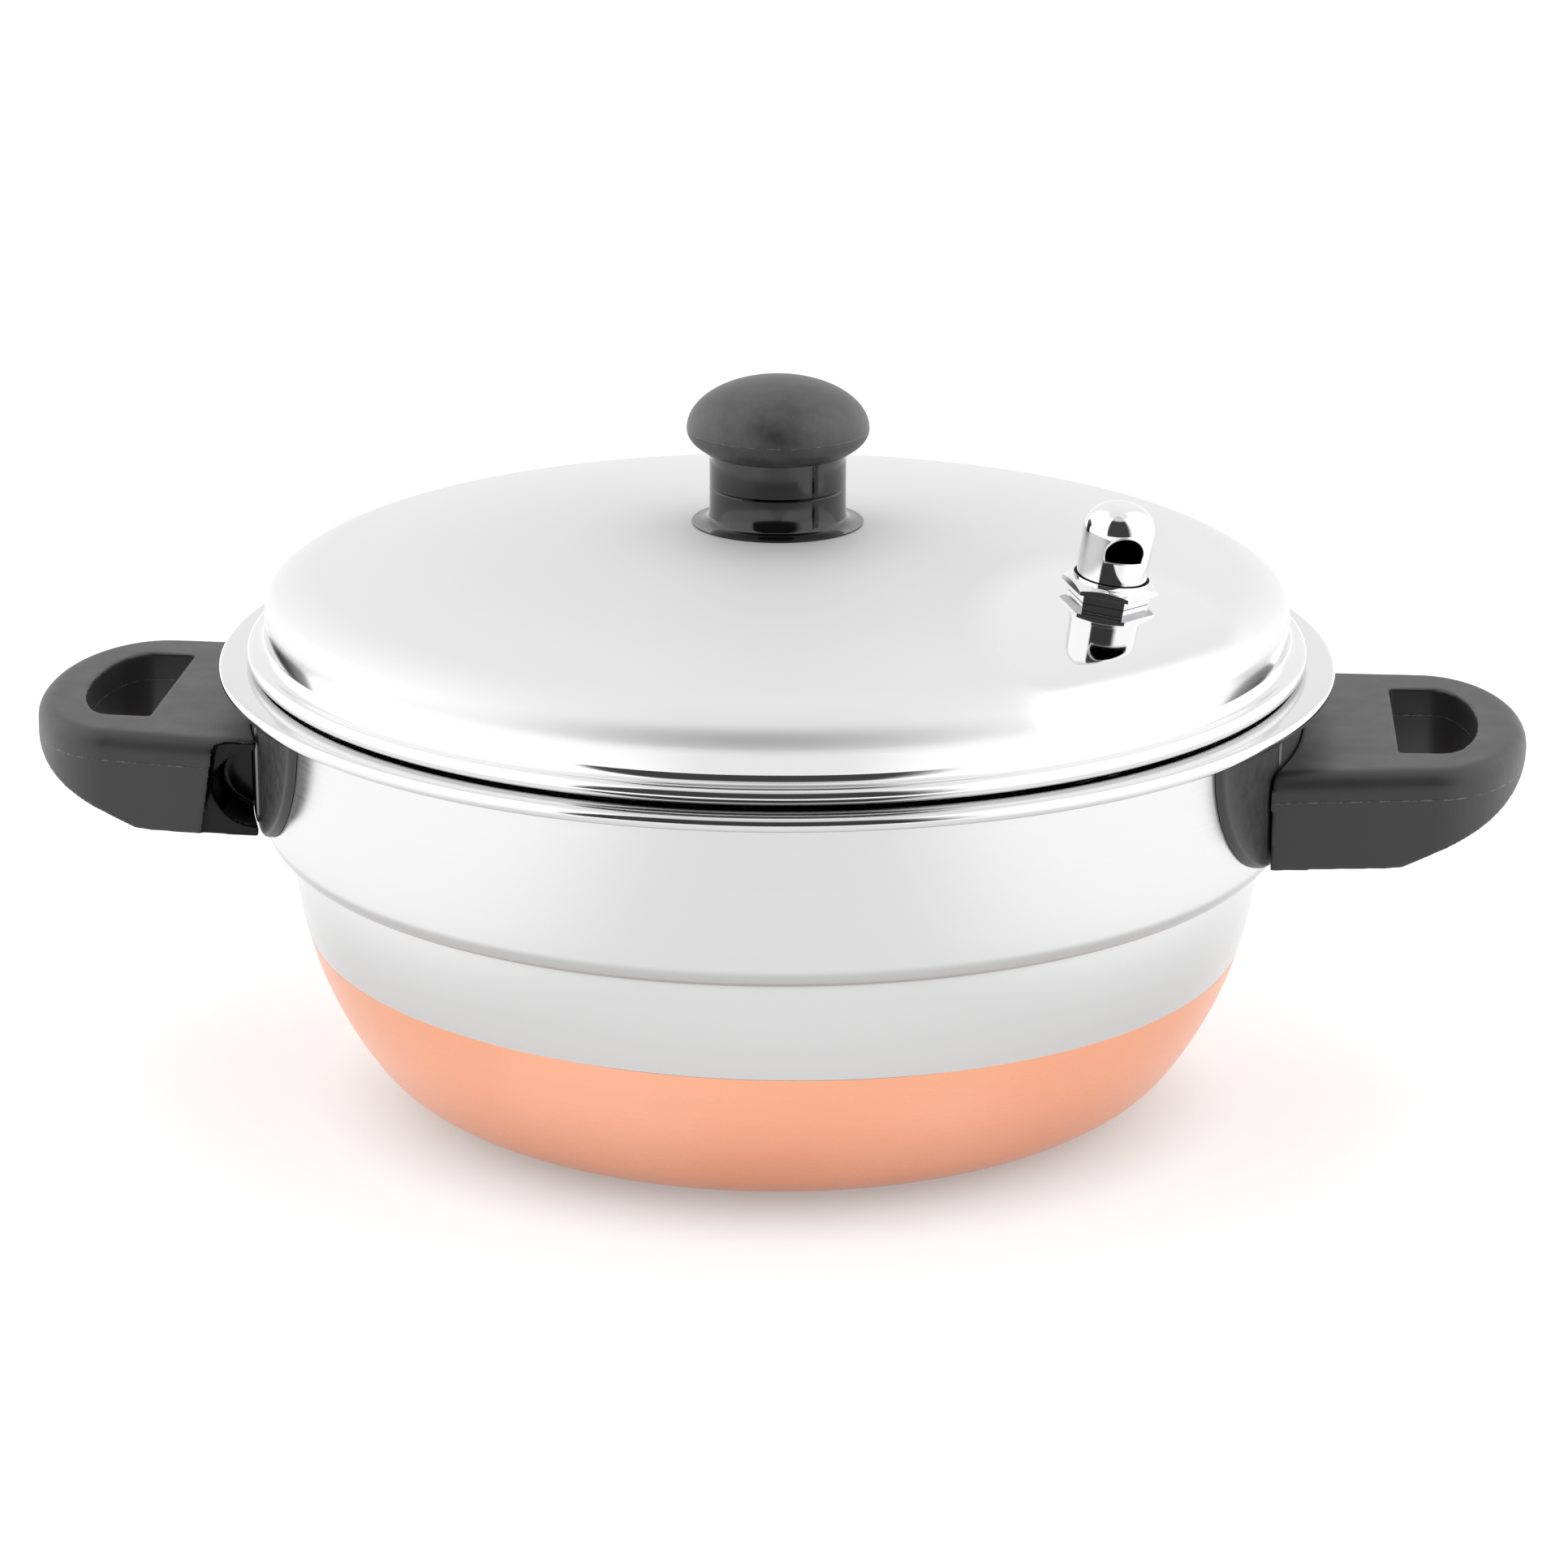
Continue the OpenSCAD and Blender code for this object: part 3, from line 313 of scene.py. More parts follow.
def mouldedPhenolic(name, look):
    # phenolic compound from a fine-blasted mould: dull skin, faint mottle, pale flash at the seam
    material, tree = newMaterial(name)
    coords = addNode(tree, "TexCoord")
    grain = addNode(tree, "TexNoise", {}, {"Scale": 1000 / look["grain"], "Detail": 2},
                    {"Vector": coords.outputs["Object"]})
    mottle = addNode(tree, "TexNoise", {}, {"Scale": 1000 / look["mottle"], "Detail": 4, "Roughness": 0.6},
                     {"Vector": coords.outputs["Object"]})
    split = addNode(tree, "SeparateXYZ", links={0: coords.outputs["Object"]})
    # height above the seam, which rises outwards with the grip
    away = addNode(tree, "Math", {"operation": "ABSOLUTE"}, links={0: split.outputs["X"]})
    slope = look["seamSlope"]
    rise = addNode(tree, "Math", {"operation": "MULTIPLY_ADD"},
                   {1: -slope, 2: slope * look["seamFrom"] / 1000 - look["seamHeight"] / 1000},
                   {0: away.outputs[0]})
    offSeam = addNode(tree, "Math", {"operation": "ADD"}, links={0: rise.outputs[0], 1: split.outputs["Z"]})
    near = addNode(tree, "Math", {"operation": "ABSOLUTE"}, links={0: offSeam.outputs[0]})
    line = addNode(tree, "MapRange", smoothStep,
                   {"From Min": look["seamWide"] / 1000, "From Max": look["seamWide"] / 4000},
                   {"Value": near.outputs[0]})
    broken = addNode(tree, "TexNoise", {}, {"Scale": 1000 / look["fleck"], "Detail": 3},
                     {"Vector": coords.outputs["Object"]})
    flecks = addNode(tree, "MapRange", {}, look["fleckSpan"], {"Value": broken.outputs["Fac"]})
    seam = addNode(tree, "Math", {"operation": "MULTIPLY"}, links={0: line.outputs[0], 1: flecks.outputs[0]})
    dull = addNode(tree, "MapRange", {}, noiseSpan, {"Value": mottle.outputs["Fac"]})
    body = addNode(tree, "Mix", colourMix, colourPair(look, "colourPale"), {0: dull.outputs[0]})
    colour = addNode(tree, "Mix", colourMix, {7: linearColour(look["colourFlash"])},
                     {0: seam.outputs[0], 6: body.outputs[2]})
    rough = addNode(tree, "MapRange", {}, sheenSpan(look, {}), {"Value": dull.outputs[0]})
    ridge = addNode(tree, "Math", {"operation": "MULTIPLY_ADD"}, {1: look["flashHigh"]},
                    {0: line.outputs[0], 2: grain.outputs["Fac"]})
    if "polishedBelow" in look:
        # the stem is polished and free of grain where it left a smoother part of the mould
        edge = look["polishedBelow"]
        stem = addNode(tree, "MapRange", {}, {"From Min": (edge + look["polishedFade"]) / 1000,
                                              "From Max": edge / 1000}, {"Value": split.outputs["Z"]})
        rough = addNode(tree, "Mix", {}, {3: look["polishedRough"]},
                        {0: stem.outputs[0], 2: rough.outputs[0]})
        colour = addNode(tree, "Mix", colourMix, {7: linearColour(look["colourPolished"])},
                         {0: stem.outputs[0], 6: colour.outputs[2]})
        ridge = addNode(tree, "Mix", {}, {3: 0.5}, {0: stem.outputs[0], 2: ridge.outputs[0]})
    bump = addNode(tree, "Bump", {}, {"Strength": 1, "Distance": look["grainDeep"] / 1000},
                   {"Height": ridge.outputs[0]})
    shader = addNode(tree, "BsdfPrincipled", {}, {"IOR": look["ior"]},
                     {"Base Color": colour.outputs[2], "Roughness": rough.outputs[0],
                      "Normal": bump.outputs[0]})
    addNode(tree, "OutputMaterial", links={"Surface": shader.outputs[0]})
    return material


def evenMould(name, look, span=noiseSpan):
    # one colour all through, from a polished mould, with faint flow marks in its gloss
    material, tree = newMaterial(name)
    rough = mottledSheen(tree, look, look["flow"], look["flowDetail"], span)
    shader = addNode(tree, "BsdfPrincipled", {},
                     {"Base Color": linearColour(look["colour"]), "IOR": look["ior"]},
                     {"Roughness": rough.outputs[0]})
    addNode(tree, "OutputMaterial", links={"Surface": shader.outputs[0]})
    return material


def smallMetal(name, look):
    # plated or turned small parts: even sheen with a fine mottle
    material, tree = newMaterial(name)
    rough = mottledSheen(tree, look, look["mottle"], 3)
    finishMetal(tree, look, rough.outputs[0])
    return material


# all lengths in them are millimetres
# the pot's greyer ring at the ledge is painted shade on the step's rounding
potSteel = polishedStainless("polishedStainlessPot", {
    "colour": "#d1d1d1", "roughLow": 0.17, "roughHigh": 0.22, "line": 0.9, "ripple": 40, "rippleDeep": 0.03,
    "rimFrom": 97, "rimTo": 100, "rimRough": 0.08, "colourLedgeShade": "#bdbdbd", "ledgeAt": 62.6, "ledgeHalf": 3.6})
lidSteel = polishedStainless("polishedStainlessLid", {
    "colour": "#dadada", "roughLow": 0.04, "roughHigh": 0.06, "line": 0.9, "ripple": 45, "rippleDeep": 0.02,
    "zonePlace": (80, -58, 125), "zoneSize": (32, 52, 60), "zoneFade": (0.65, 1.1), "zoneRough": 0.57,
    "satinRough": 0.75, "satinFrom": 145, "satinTo": 163, "rimFrom": 116, "rimTo": 112, "rimRough": 0.1})
plateSteel = polishedStainless("polishedStainlessPlates", {
    "colour": "#cfcfcf", "roughLow": 0.12, "roughHigh": 0.2, "line": 0.8, "ripple": 30, "rippleDeep": 0.03})
copper = copperPlating({"colour": "#fbb898", "colourAged": "#f6b08e", "roughLow": 0.27, "roughHigh": 0.3,
                        "line": 0.3, "cloud": 60, "cloudSpan": {"From Min": 0.35, "From Max": 0.65}})
gripSkin = {"colour": "#252526", "colourPale": "#29292a", "colourFlash": "#5c5c5b", "roughLow": 0.42,
            "roughHigh": 0.5, "ior": 1.55, "grain": 0.5, "grainDeep": 0.012, "mottle": 9, "seamHeight": 81.8,
            "seamSlope": math.tan(math.radians(1.6)), "seamFrom": 120.8, "seamWide": 0.25, "flashHigh": 3,
            "fleck": 1.6, "fleckSpan": {"From Min": 0.45, "From Max": 0.62}}
gripPhenolic = mouldedPhenolic("mouldedPhenolicGrip", gripSkin)
guardPhenolic = mouldedPhenolic("mouldedPhenolicGuard", gripSkin | {
    "seamHeight": 0, "colour": "#2c2c2d", "colourPale": "#353536", "mottle": 2.5, "roughLow": 0.34,
    "roughHigh": 0.46})
knobPhenolic = mouldedPhenolic("mouldedPhenolicKnob", gripSkin | {
    "seamHeight": 155.3, "seamSlope": 0, "grain": 0.7, "grainDeep": 0.03, "mottle": 6, "polishedBelow": 149.9,
    "polishedFade": 0.2, "polishedRough": 0.07, "colour": "#2b2b2c", "colourPale": "#464647",
    "colourPolished": "#0b0b0c"})
# the same compound where the mould was polished: black and wet-looking
gloss = evenMould("glossPhenolic", {
    "colour": "#0b0b0c", "flow": 5, "flowDetail": 3, "roughLow": 0.06, "roughHigh": 0.09, "ior": 1.55})
# deep black with a glossy skin in the grip's relief and core-out: painted shade in those hollows
hollowShadeBlack = evenMould("phenolicPaintedHollowShade", {
    "colour": "#080808", "flow": 3, "flowDetail": 3, "roughLow": 0.12, "roughHigh": 0.2, "ior": 1.3})
# milky, soft sheen
silicone = evenMould("siliconeRubber", {
    "colour": "#d5d4cf", "flow": 2, "flowDetail": 2, "roughLow": 0.45, "roughHigh": 0.55, "ior": 1.41}, {})
# near black and dull inside the vent: painted shade in the cap's hollow and on the nipple's top
ventHollowShade = smallMetal("paintedShadeInsideVent", {
    "colour": "#0d0b0a", "mottle": 2, "roughLow": 0.6, "roughHigh": 0.8})
chrome = smallMetal("chromePlate", {"colour": "#dededf", "mottle": 3, "roughLow": 0.02, "roughHigh": 0.05})
# dark grey: painted shade on the brackets and backplates, which sit between guard and grip
shadedStrip = smallMetal("pressedStainlessPaintedShade", {
    "colour": "#77787a", "mottle": 14, "roughLow": 0.3, "roughHigh": 0.36})
zinc = smallMetal("brightZincPlate", {"colour": "#b9bbc0", "mottle": 1.5, "roughLow": 0.22, "roughHigh": 0.35})
brass = smallMetal("turnedBrass", {"colour": "#c9a85c", "mottle": 1.5, "roughLow": 0.25, "roughHigh": 0.35})
print("finishes ready")


# tools for the pieces; outlines are lists of points in millimetres
def ovalPoints(centre, wide, high, start, end, step):
    count = max(2, math.ceil(abs(end - start) / step))
    turns = [math.radians(start + (end - start) * i / count) for i in range(count + 1)]
    return [(centre[0] + wide * math.cos(a), centre[1] + high * math.sin(a)) for a in turns]


def arcPoints(centre, radius, start, end, step):
    return ovalPoints(centre, radius, radius, start, end, step)


def pulledPoints(start, pull, stop, steps):
    # a curve from start to stop that bends towards the pull
    return [tuple((1 - s) ** 2 * start[i] + 2 * s * (1 - s) * pull[i] + s * s * stop[i] for i in (0, 1))
            for s in [n / steps for n in range(steps + 1)]]


def joined(*runs):
    # one line of points from several, without the doubled joints
    points = list(runs[0])
    for run in runs[1:]:
        points += [p for p in run if math.dist(p, points[-1]) > 0.02]
    return points


def picked(piece):
    bpy.ops.object.select_all(action="DESELECT")
    piece.select_set(True)
    bpy.context.view_layer.objects.active = piece


def pickFaces(piece, wanted):
    # selects only the faces that pass the test, and leaves edit mode on
    bpy.ops.object.mode_set(mode="EDIT")
    bpy.ops.mesh.select_mode(type="FACE")
    bpy.ops.mesh.select_all(action="DESELECT")
    bpy.ops.object.mode_set(mode="OBJECT")
    for face in piece.data.polygons:
        face.select = wanted(face)
    bpy.ops.object.mode_set(mode="EDIT")


def drawLine(name, points):
    # one vertex, extruded from point to point; leaves edit mode on
    bpy.ops.object.select_all(action="DESELECT")
    bpy.ops.mesh.primitive_plane_add(size=0.001, location=(0, 0, 0))
    piece = bpy.context.object
    piece.name = name
    bpy.ops.object.mode_set(mode="EDIT")
    bpy.ops.mesh.select_mode(type="VERT")
    bpy.ops.mesh.merge(type="CENTER")
    bpy.ops.transform.translate(value=[c / 1000 for c in points[0]])
    for here, there in zip(points, points[1:]):
        bpy.ops.mesh.extrude_region_move(
            TRANSFORM_OT_translate={"value": [(b - a) / 1000 for a, b in zip(here, there)]})
    bpy.ops.mesh.select_all(action="SELECT")
    return piece


def spinProfile(name, profile, steps):
    # half a section, spun round the pot's axis
    piece = drawLine(name, [(x, 0, z) for x, z in profile])
    bpy.ops.mesh.spin(steps=steps, angle=2 * math.pi, center=(0, 0, 0), axis=(0, 0, 1))
    bpy.ops.mesh.select_all(action="SELECT")
    bpy.ops.mesh.remove_doubles(threshold=mergeWithin)
    bpy.ops.mesh.normals_make_consistent(inside=False)
    bpy.ops.object.mode_set(mode="OBJECT")
    return piece


def drawPrism(name, outline, flat, start, end):
    # an outline drawn on the XY, XZ or YZ plane and extruded along the third axis
    def placed(first, second, third):
        spot = dict(zip(flat, (first, second)))
        return [spot.get(letter, third) for letter in "XYZ"]

    piece = drawLine(name, [placed(first, second, start) for first, second in outline])
    bpy.ops.mesh.edge_face_add()
    bpy.ops.mesh.extrude_region_move(
        TRANSFORM_OT_translate={"value": [c / 1000 for c in placed(0, 0, end - start)]})
    bpy.ops.mesh.select_all(action="SELECT")
    bpy.ops.mesh.normals_make_consistent(inside=False)
    bpy.ops.object.mode_set(mode="OBJECT")
    return piece


def standingCylinder(radius, x, low, high, corners=48):
    bpy.ops.object.select_all(action="DESELECT")
    bpy.ops.mesh.primitive_cylinder_add(vertices=corners, radius=radius / 1000, depth=(high - low) / 1000,
                                        location=(x / 1000, 0, (low + high) / 2000))
    cylinder = bpy.context.object
    bpy.ops.object.transform_apply(location=True, rotation=True, scale=True)
    return cylinder


def applied(piece, kind, **settings):
    bpy.context.view_layer.objects.active = piece
    modifier = piece.modifiers.new(kind.lower(), kind)
    for name, value in settings.items():
        setattr(modifier, name, value)
    bpy.ops.object.modifier_apply(modifier=modifier.name)


def thickened(piece, thickness):
    # sheet metal, half its thickness to each side
    applied(piece, "SOLIDIFY", thickness=thickness / 1000, offset=0, use_even_offset=True, use_rim=True)


def combined(piece, other, operation="DIFFERENCE"):
    applied(piece, "BOOLEAN", operation=operation, object=other, solver="EXACT")
    bpy.data.objects.remove(other, do_unlink=True)


def smoothed(piece, angle):
    picked(piece)
    bpy.ops.object.shade_smooth_by_angle(angle=math.radians(angle))


def setDown(piece, place):
    # moves a finished mesh to its place, with the object left at the origin
    picked(piece)
    piece.matrix_world = place
    bpy.ops.object.transform_apply(location=True, rotation=True, scale=True)


def wireLoop(name, points, radius):
    # a round wire bent along a closed loop of points
    drawLine(name, points + points[:1])
    bpy.ops.mesh.remove_doubles(threshold=mergeWithin)
    bpy.ops.object.mode_set(mode="OBJECT")
    bpy.ops.object.convert(target="CURVE")
    wire = bpy.context.object
    wire.data.bevel_depth = radius / 1000
    wire.data.bevel_resolution = 2
    bpy.ops.object.convert(target="MESH")
    wire = bpy.context.object
    smoothed(wire, 60)
    return wire


def mergedCopy(nodeName, name):
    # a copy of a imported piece, with its loose triangles joined up
    node = nodes[nodeName]
    piece = node.copy()
    piece.data = node.data.copy()
    piece.name = name
    piece.parent = None
    bpy.context.scene.collection.objects.link(piece)
    picked(piece)
    bpy.ops.object.mode_set(mode="EDIT")
    bpy.ops.mesh.select_all(action="SELECT")
    bpy.ops.mesh.remove_doubles(threshold=mergeWithin)
    bpy.ops.mesh.dissolve_limited(angle_limit=math.radians(0.5))
    bpy.ops.object.mode_set(mode="OBJECT")
    return piece


def dressed(piece, body, material, node):
    piece.data.materials.clear()
    piece.data.materials.append(material)
    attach(piece, body)
    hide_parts(node)
    print("piece ready:", piece.name, len(piece.data.polygons), "faces")


def secondFinish(piece, material, faces):
    piece.data.materials.append(material)
    for index in faces:
        piece.data.polygons[index].material_index = 1


# the pot
pot = {"rim": 130.4, "height": 102.9, "wall": 120.8, "bowl": 114.3, "ledge": 61.1, "sheet": 0.9, "bulge": 86.5,
       "corner": 22, "curl": 3.2, "rimBend": 1.2, "ledgeFillet": 1.2, "ledgeRound": 4.5, "curlSweep": 255,
       "clearOf": 37.2, "clearBy": 2.3, "steps": 192}
plating = {"height": 37.2, "tilt": 0.87, "turn": 28, "thick": 0.4, "groove": 0.4, "lip": 0.03,
           "heart": 40}     # a height inside the bowl, from which the outer skin is told


def bowlLine(p):
    # the middle of the sheet from the axis to the top of the bowl
    half = p["sheet"] / 2
    bulgeX, bulgeZ = p["bowl"] - p["bulge"], p["ledge"] - p["ledgeFillet"]
    turn = math.degrees(math.acos((bulgeZ - p["corner"]) / (p["bulge"] - p["corner"])))
    flat = bulgeX + (p["bulge"] - p["corner"]) * math.sin(math.radians(turn))
    line = joined([(flat * share, half) for share in (0, 0.2, 0.4, 0.6, 0.8, 0.94, 1)],
                  arcPoints((flat, p["corner"]), p["corner"] - half, -90, turn - 90, 3),
                  arcPoints((bulgeX, bulgeZ), p["bulge"] - half, turn - 90, 0, 1.2))
    # no ring of points where the plating's slanting edge is cut, so that the cut stays clean
    return [point for point in line if abs(point[1] - p["clearOf"]) > p["clearBy"]]


def potLine(p):
    half = p["sheet"] / 2
    wall, bowl = p["wall"] - half, p["bowl"] - half
    fillet, corner = p["ledgeFillet"] + half, p["ledgeRound"] - half
    ledge, bend = p["ledge"] + half, p["rimBend"] + half
    curl = p["curl"] / 2
    return joined(bowlLine(p),
                  arcPoints((bowl + fillet, ledge - fillet), fillet, 180, 90, 10),
                  arcPoints((wall - corner, ledge + corner), corner, -90, 0, 6),
                  [(wall, z) for z in (70, 75, 80, 85, 90, 95)],
                  arcPoints((wall + bend, p["height"] - half - bend), bend, 180, 90, 10),
                  arcPoints((p["rim"] - curl, p["height"] - curl), curl - half, 90, 90 - p["curlSweep"], 12))


def edgePlane(q, drop):
    # the slanting plane of the plating's edge: a point on it and its normal
    turn, tilt = math.radians(q["turn"]), math.radians(q["tilt"])
    return ((0, 0, (q["height"] - drop) / 1000),
            (math.sin(tilt) * math.cos(turn), math.sin(tilt) * math.sin(turn), math.cos(tilt)))


def makePot(p, q):
    piece = spinProfile("potShell", potLine(p), p["steps"])
    thickened(piece, p["sheet"])
    # the recess that the plating fills: cut along its edge, then the outer skin below is let in
    place, normal = edgePlane(q, 0)
    lower, normal = edgePlane(q, q["lip"])
    bpy.ops.object.mode_set(mode="EDIT")
    for cut in (place, lower):
        bpy.ops.mesh.select_all(action="SELECT")
        bpy.ops.mesh.bisect(plane_co=cut, plane_no=normal)
    bpy.ops.mesh.select_all(action="DESELECT")
    bpy.ops.object.mode_set(mode="OBJECT")
    heart = Vector((0, 0, q["heart"] / 1000))
    for vertex in piece.data.vertices:
        below = (vertex.co - Vector(lower)).dot(Vector(normal)) < 0.000005
        vertex.select = below and vertex.normal.dot(vertex.co - heart) > 0
    bpy.ops.object.mode_set(mode="EDIT")
    bpy.ops.mesh.select_mode(type="VERT")
    bpy.ops.transform.shrink_fatten(value=-q["thick"] / 1000)
    bpy.ops.object.mode_set(mode="OBJECT")
    smoothed(piece, 35)
    dressed(piece, "pot", potSteel, "pot_shell")


def makeCopper(p, q):
    piece = spinProfile("copperPlatedBase", bowlLine(p), p["steps"])
    place, normal = edgePlane(q, q["groove"])
    bpy.ops.object.mode_set(mode="EDIT")
    bpy.ops.mesh.select_all(action="SELECT")
    bpy.ops.mesh.bisect(plane_co=place, plane_no=normal, clear_outer=True)
    bpy.ops.object.mode_set(mode="OBJECT")
    outward = piece.data.polygons[0].normal.z < 0
    # from the sheet's middle out to its outer face, then back in by the plating's thickness
    bpy.ops.object.mode_set(mode="EDIT")
    bpy.ops.mesh.select_all(action="SELECT")
    if not outward:
        bpy.ops.mesh.flip_normals()
    bpy.ops.transform.shrink_fatten(value=p["sheet"] / 2000)
    bpy.ops.object.mode_set(mode="OBJECT")
    applied(piece, "SOLIDIFY", thickness=q["thick"] / 1000, offset=-1, use_even_offset=True, use_rim=True)
    smoothed(piece, 35)
    dressed(piece, "pot", copper, "copper_base")


makePot(pot, plating)
makeCopper(pot, plating)

# the lid, and the vent that its hole is for
lid = {"step": 1.3, "bead": 3.8, "rise": 28.3, "dome": 585, "brow": 25, "shoulder": 6.3, "steepness": 55,
       "flare": 2.85, "beadSweep": 290, "gap": 0.3, "sheet": 0.9, "hole": 2.9, "steps": 192}
vent = {"edge": 34, "direction": -25, "turn": -50, "cap": 16, "height": 21.8, "wall": 1, "fillet": 6.2,
        "chamfer": 0.15, "holeWide": 9, "holeShare": 0.55, "flatShare": 0.18, "lipWire": 0.22, "hexHigh": 2.1,
        "lipHigh": 0.9, "coneHigh": 1.1, "ringHigh": 0.9, "hexRound": 0.15, "thread": 10, "gap": 0.1,
        "rings": 24, "steps": 96}


def crownHeight(p, l):
    return p["height"] + l["gap"] + l["bead"] / 2 + l["rise"]


def domeHeight(p, l, radius):
    return crownHeight(p, l) - l["dome"] + math.sqrt(l["dome"] ** 2 - radius ** 2)


def lidLine(p, l):
    half = l["sheet"] / 2
    wall = p["wall"] - l["step"]
    beadX, beadZ = wall - half + l["flare"], p["height"] + l["gap"] + l["bead"] / 2
    beadR = l["bead"] / 2 - half
    domeZ = crownHeight(p, l) - l["dome"]
    slope = math.radians(l["steepness"])
    browX = wall - l["shoulder"] - (l["brow"] - l["shoulder"]) * math.cos(slope)
    browZ = domeZ + math.sqrt((l["dome"] - l["brow"]) ** 2 - browX ** 2)
    browTurn = math.degrees(math.acos(browX / (l["dome"] - l["brow"])))
    shoulderZ = browZ + (l["brow"] - l["shoulder"]) * math.sin(slope)
    holeTurn = math.degrees(math.acos(l["hole"] / l["dome"]))
    return joined(arcPoints((0, domeZ), l["dome"] - half, holeTurn, browTurn, 0.25),
                  arcPoints((browX, browZ), l["brow"] - half, browTurn, l["steepness"], 2),
                  arcPoints((wall - l["shoulder"], shoulderZ), l["shoulder"] - half, l["steepness"], 0, 4),
                  arcPoints((beadX, beadZ + beadR + l["flare"]), l["flare"], 180, 270, 9),
                  arcPoints((beadX, beadZ), beadR, 90, 90 - l["beadSweep"], 12))


def ventPlace(p, l, v):
    # carries a piece modelled at the origin to the vent's place on the dome
    radius = p["wall"] - l["step"] - v["edge"]
    return (Matrix.Rotation(math.radians(v["direction"]), 4, "Z")
            @ Matrix.Translation((radius / 1000, 0, domeHeight(p, l, radius) / 1000))
            @ Matrix.Rotation(math.asin(radius / l["dome"]), 4, "Y")
            @ Matrix.Rotation(math.radians(v["turn"]), 4, "Z"))


def makeLid(p, l, v):
    piece = spinProfile("lidShell", lidLine(p, l), l["steps"])
    thickened(piece, l["sheet"])
    cutter = standingCylinder(v["thread"] / 2 + 0.2, 0, -10, 10)
    setDown(cutter, ventPlace(p, l, v))
    combined(piece, cutter)
    smoothed(piece, 35)
    dressed(piece, "lid", lidSteel, "lid_shell")


makeLid(pot, lid, vent)

# the knob
knob = {"stem": 15.9, "cap": 21.2, "collar": 8.4, "stemHigh": 13.6, "crown": 12, "under": 8.6, "foot": 20,
        "footRise": 1.8, "footEdge": 0.25, "chamfer": 0.35, "insert": 4.55, "insertTop": 13.25, "gap": 0.1,
        "steps": 128}


def makeKnob(p, l, k):
    low = crownHeight(p, l) + k["collar"]
    middle = low + k["stemHigh"]
    under = math.degrees(math.acos(k["stem"] / k["cap"]))
    cap = joined([(0, low + k["insertTop"]), (k["insert"], low + k["insertTop"]), (k["insert"], low),
                  (k["stem"] - k["chamfer"], low), (k["stem"], low + k["chamfer"])],
                 [(k["stem"], low + rise) for rise in range(2, 7)],
                 ovalPoints((0, middle), k["cap"], k["under"], -under, 0, 4),
                 ovalPoints((0, middle), k["cap"], k["crown"], 0, 90, 3))
    piece = spinProfile("knobCap", cap, k["steps"])
    smoothed(piece, 40)
    dressed(piece, "lid", knobPhenolic, "knob_cap")

    seat = [(r, domeHeight(p, l, r) + k["gap"]) for r in (l["hole"], 6, 9, 12, 15, 17.5, k["foot"])]
    footZ = seat[-1][1]
    edgeZ = footZ + k["footEdge"]
    flare = pulledPoints((k["foot"], edgeZ), (k["stem"] + k["footEdge"], edgeZ),
                         (k["stem"], footZ + k["footRise"]), 10)
    top = [(k["stem"], low - k["chamfer"]), (k["stem"] - k["chamfer"], low), (l["hole"], low), seat[0]]
    piece = spinProfile("knobCollar", joined(seat, flare, top), k["steps"])
    smoothed(piece, 35)
    dressed(piece, "lid", gloss, "knob_collar")


makeKnob(pot, lid, knob)


def ventHoleCutter(v, middle, flat):
    # round above, flat below
    bpy.ops.object.select_all(action="DESELECT")
    bpy.ops.mesh.primitive_cylinder_add(vertices=64, radius=v["holeWide"] / 2000, depth=v["cap"] / 1000,
                                        location=(v["cap"] / 2000, 0, middle / 1000),
                                        rotation=(0, math.pi / 2, 0))
    cutter = bpy.context.object
    bpy.ops.object.transform_apply(location=True, rotation=True, scale=True)
    bpy.ops.object.mode_set(mode="EDIT")
    bpy.ops.mesh.select_all(action="SELECT")
    bpy.ops.mesh.bisect(plane_co=(0, 0, flat / 1000), plane_no=(0, 0, 1), clear_inner=True, use_fill=True)
    bpy.ops.object.mode_set(mode="OBJECT")
    return cutter


def ventLip(v, outer, middle, flat):
    # the hole's edge is rolled into a thin lip
    start = math.degrees(math.asin((flat - middle) / (v["holeWide"] / 2)))
    hole = arcPoints((0, middle), v["holeWide"] / 2, start, 180 - start, 8)
    hole += [(hole[-1][0] + (hole[0][0] - hole[-1][0]) * i / 12, flat) for i in range(1, 13)]
    return wireLoop("ventHoleLip", [(math.sqrt(outer ** 2 - y * y), y, z) for y, z in hole], v["lipWire"])


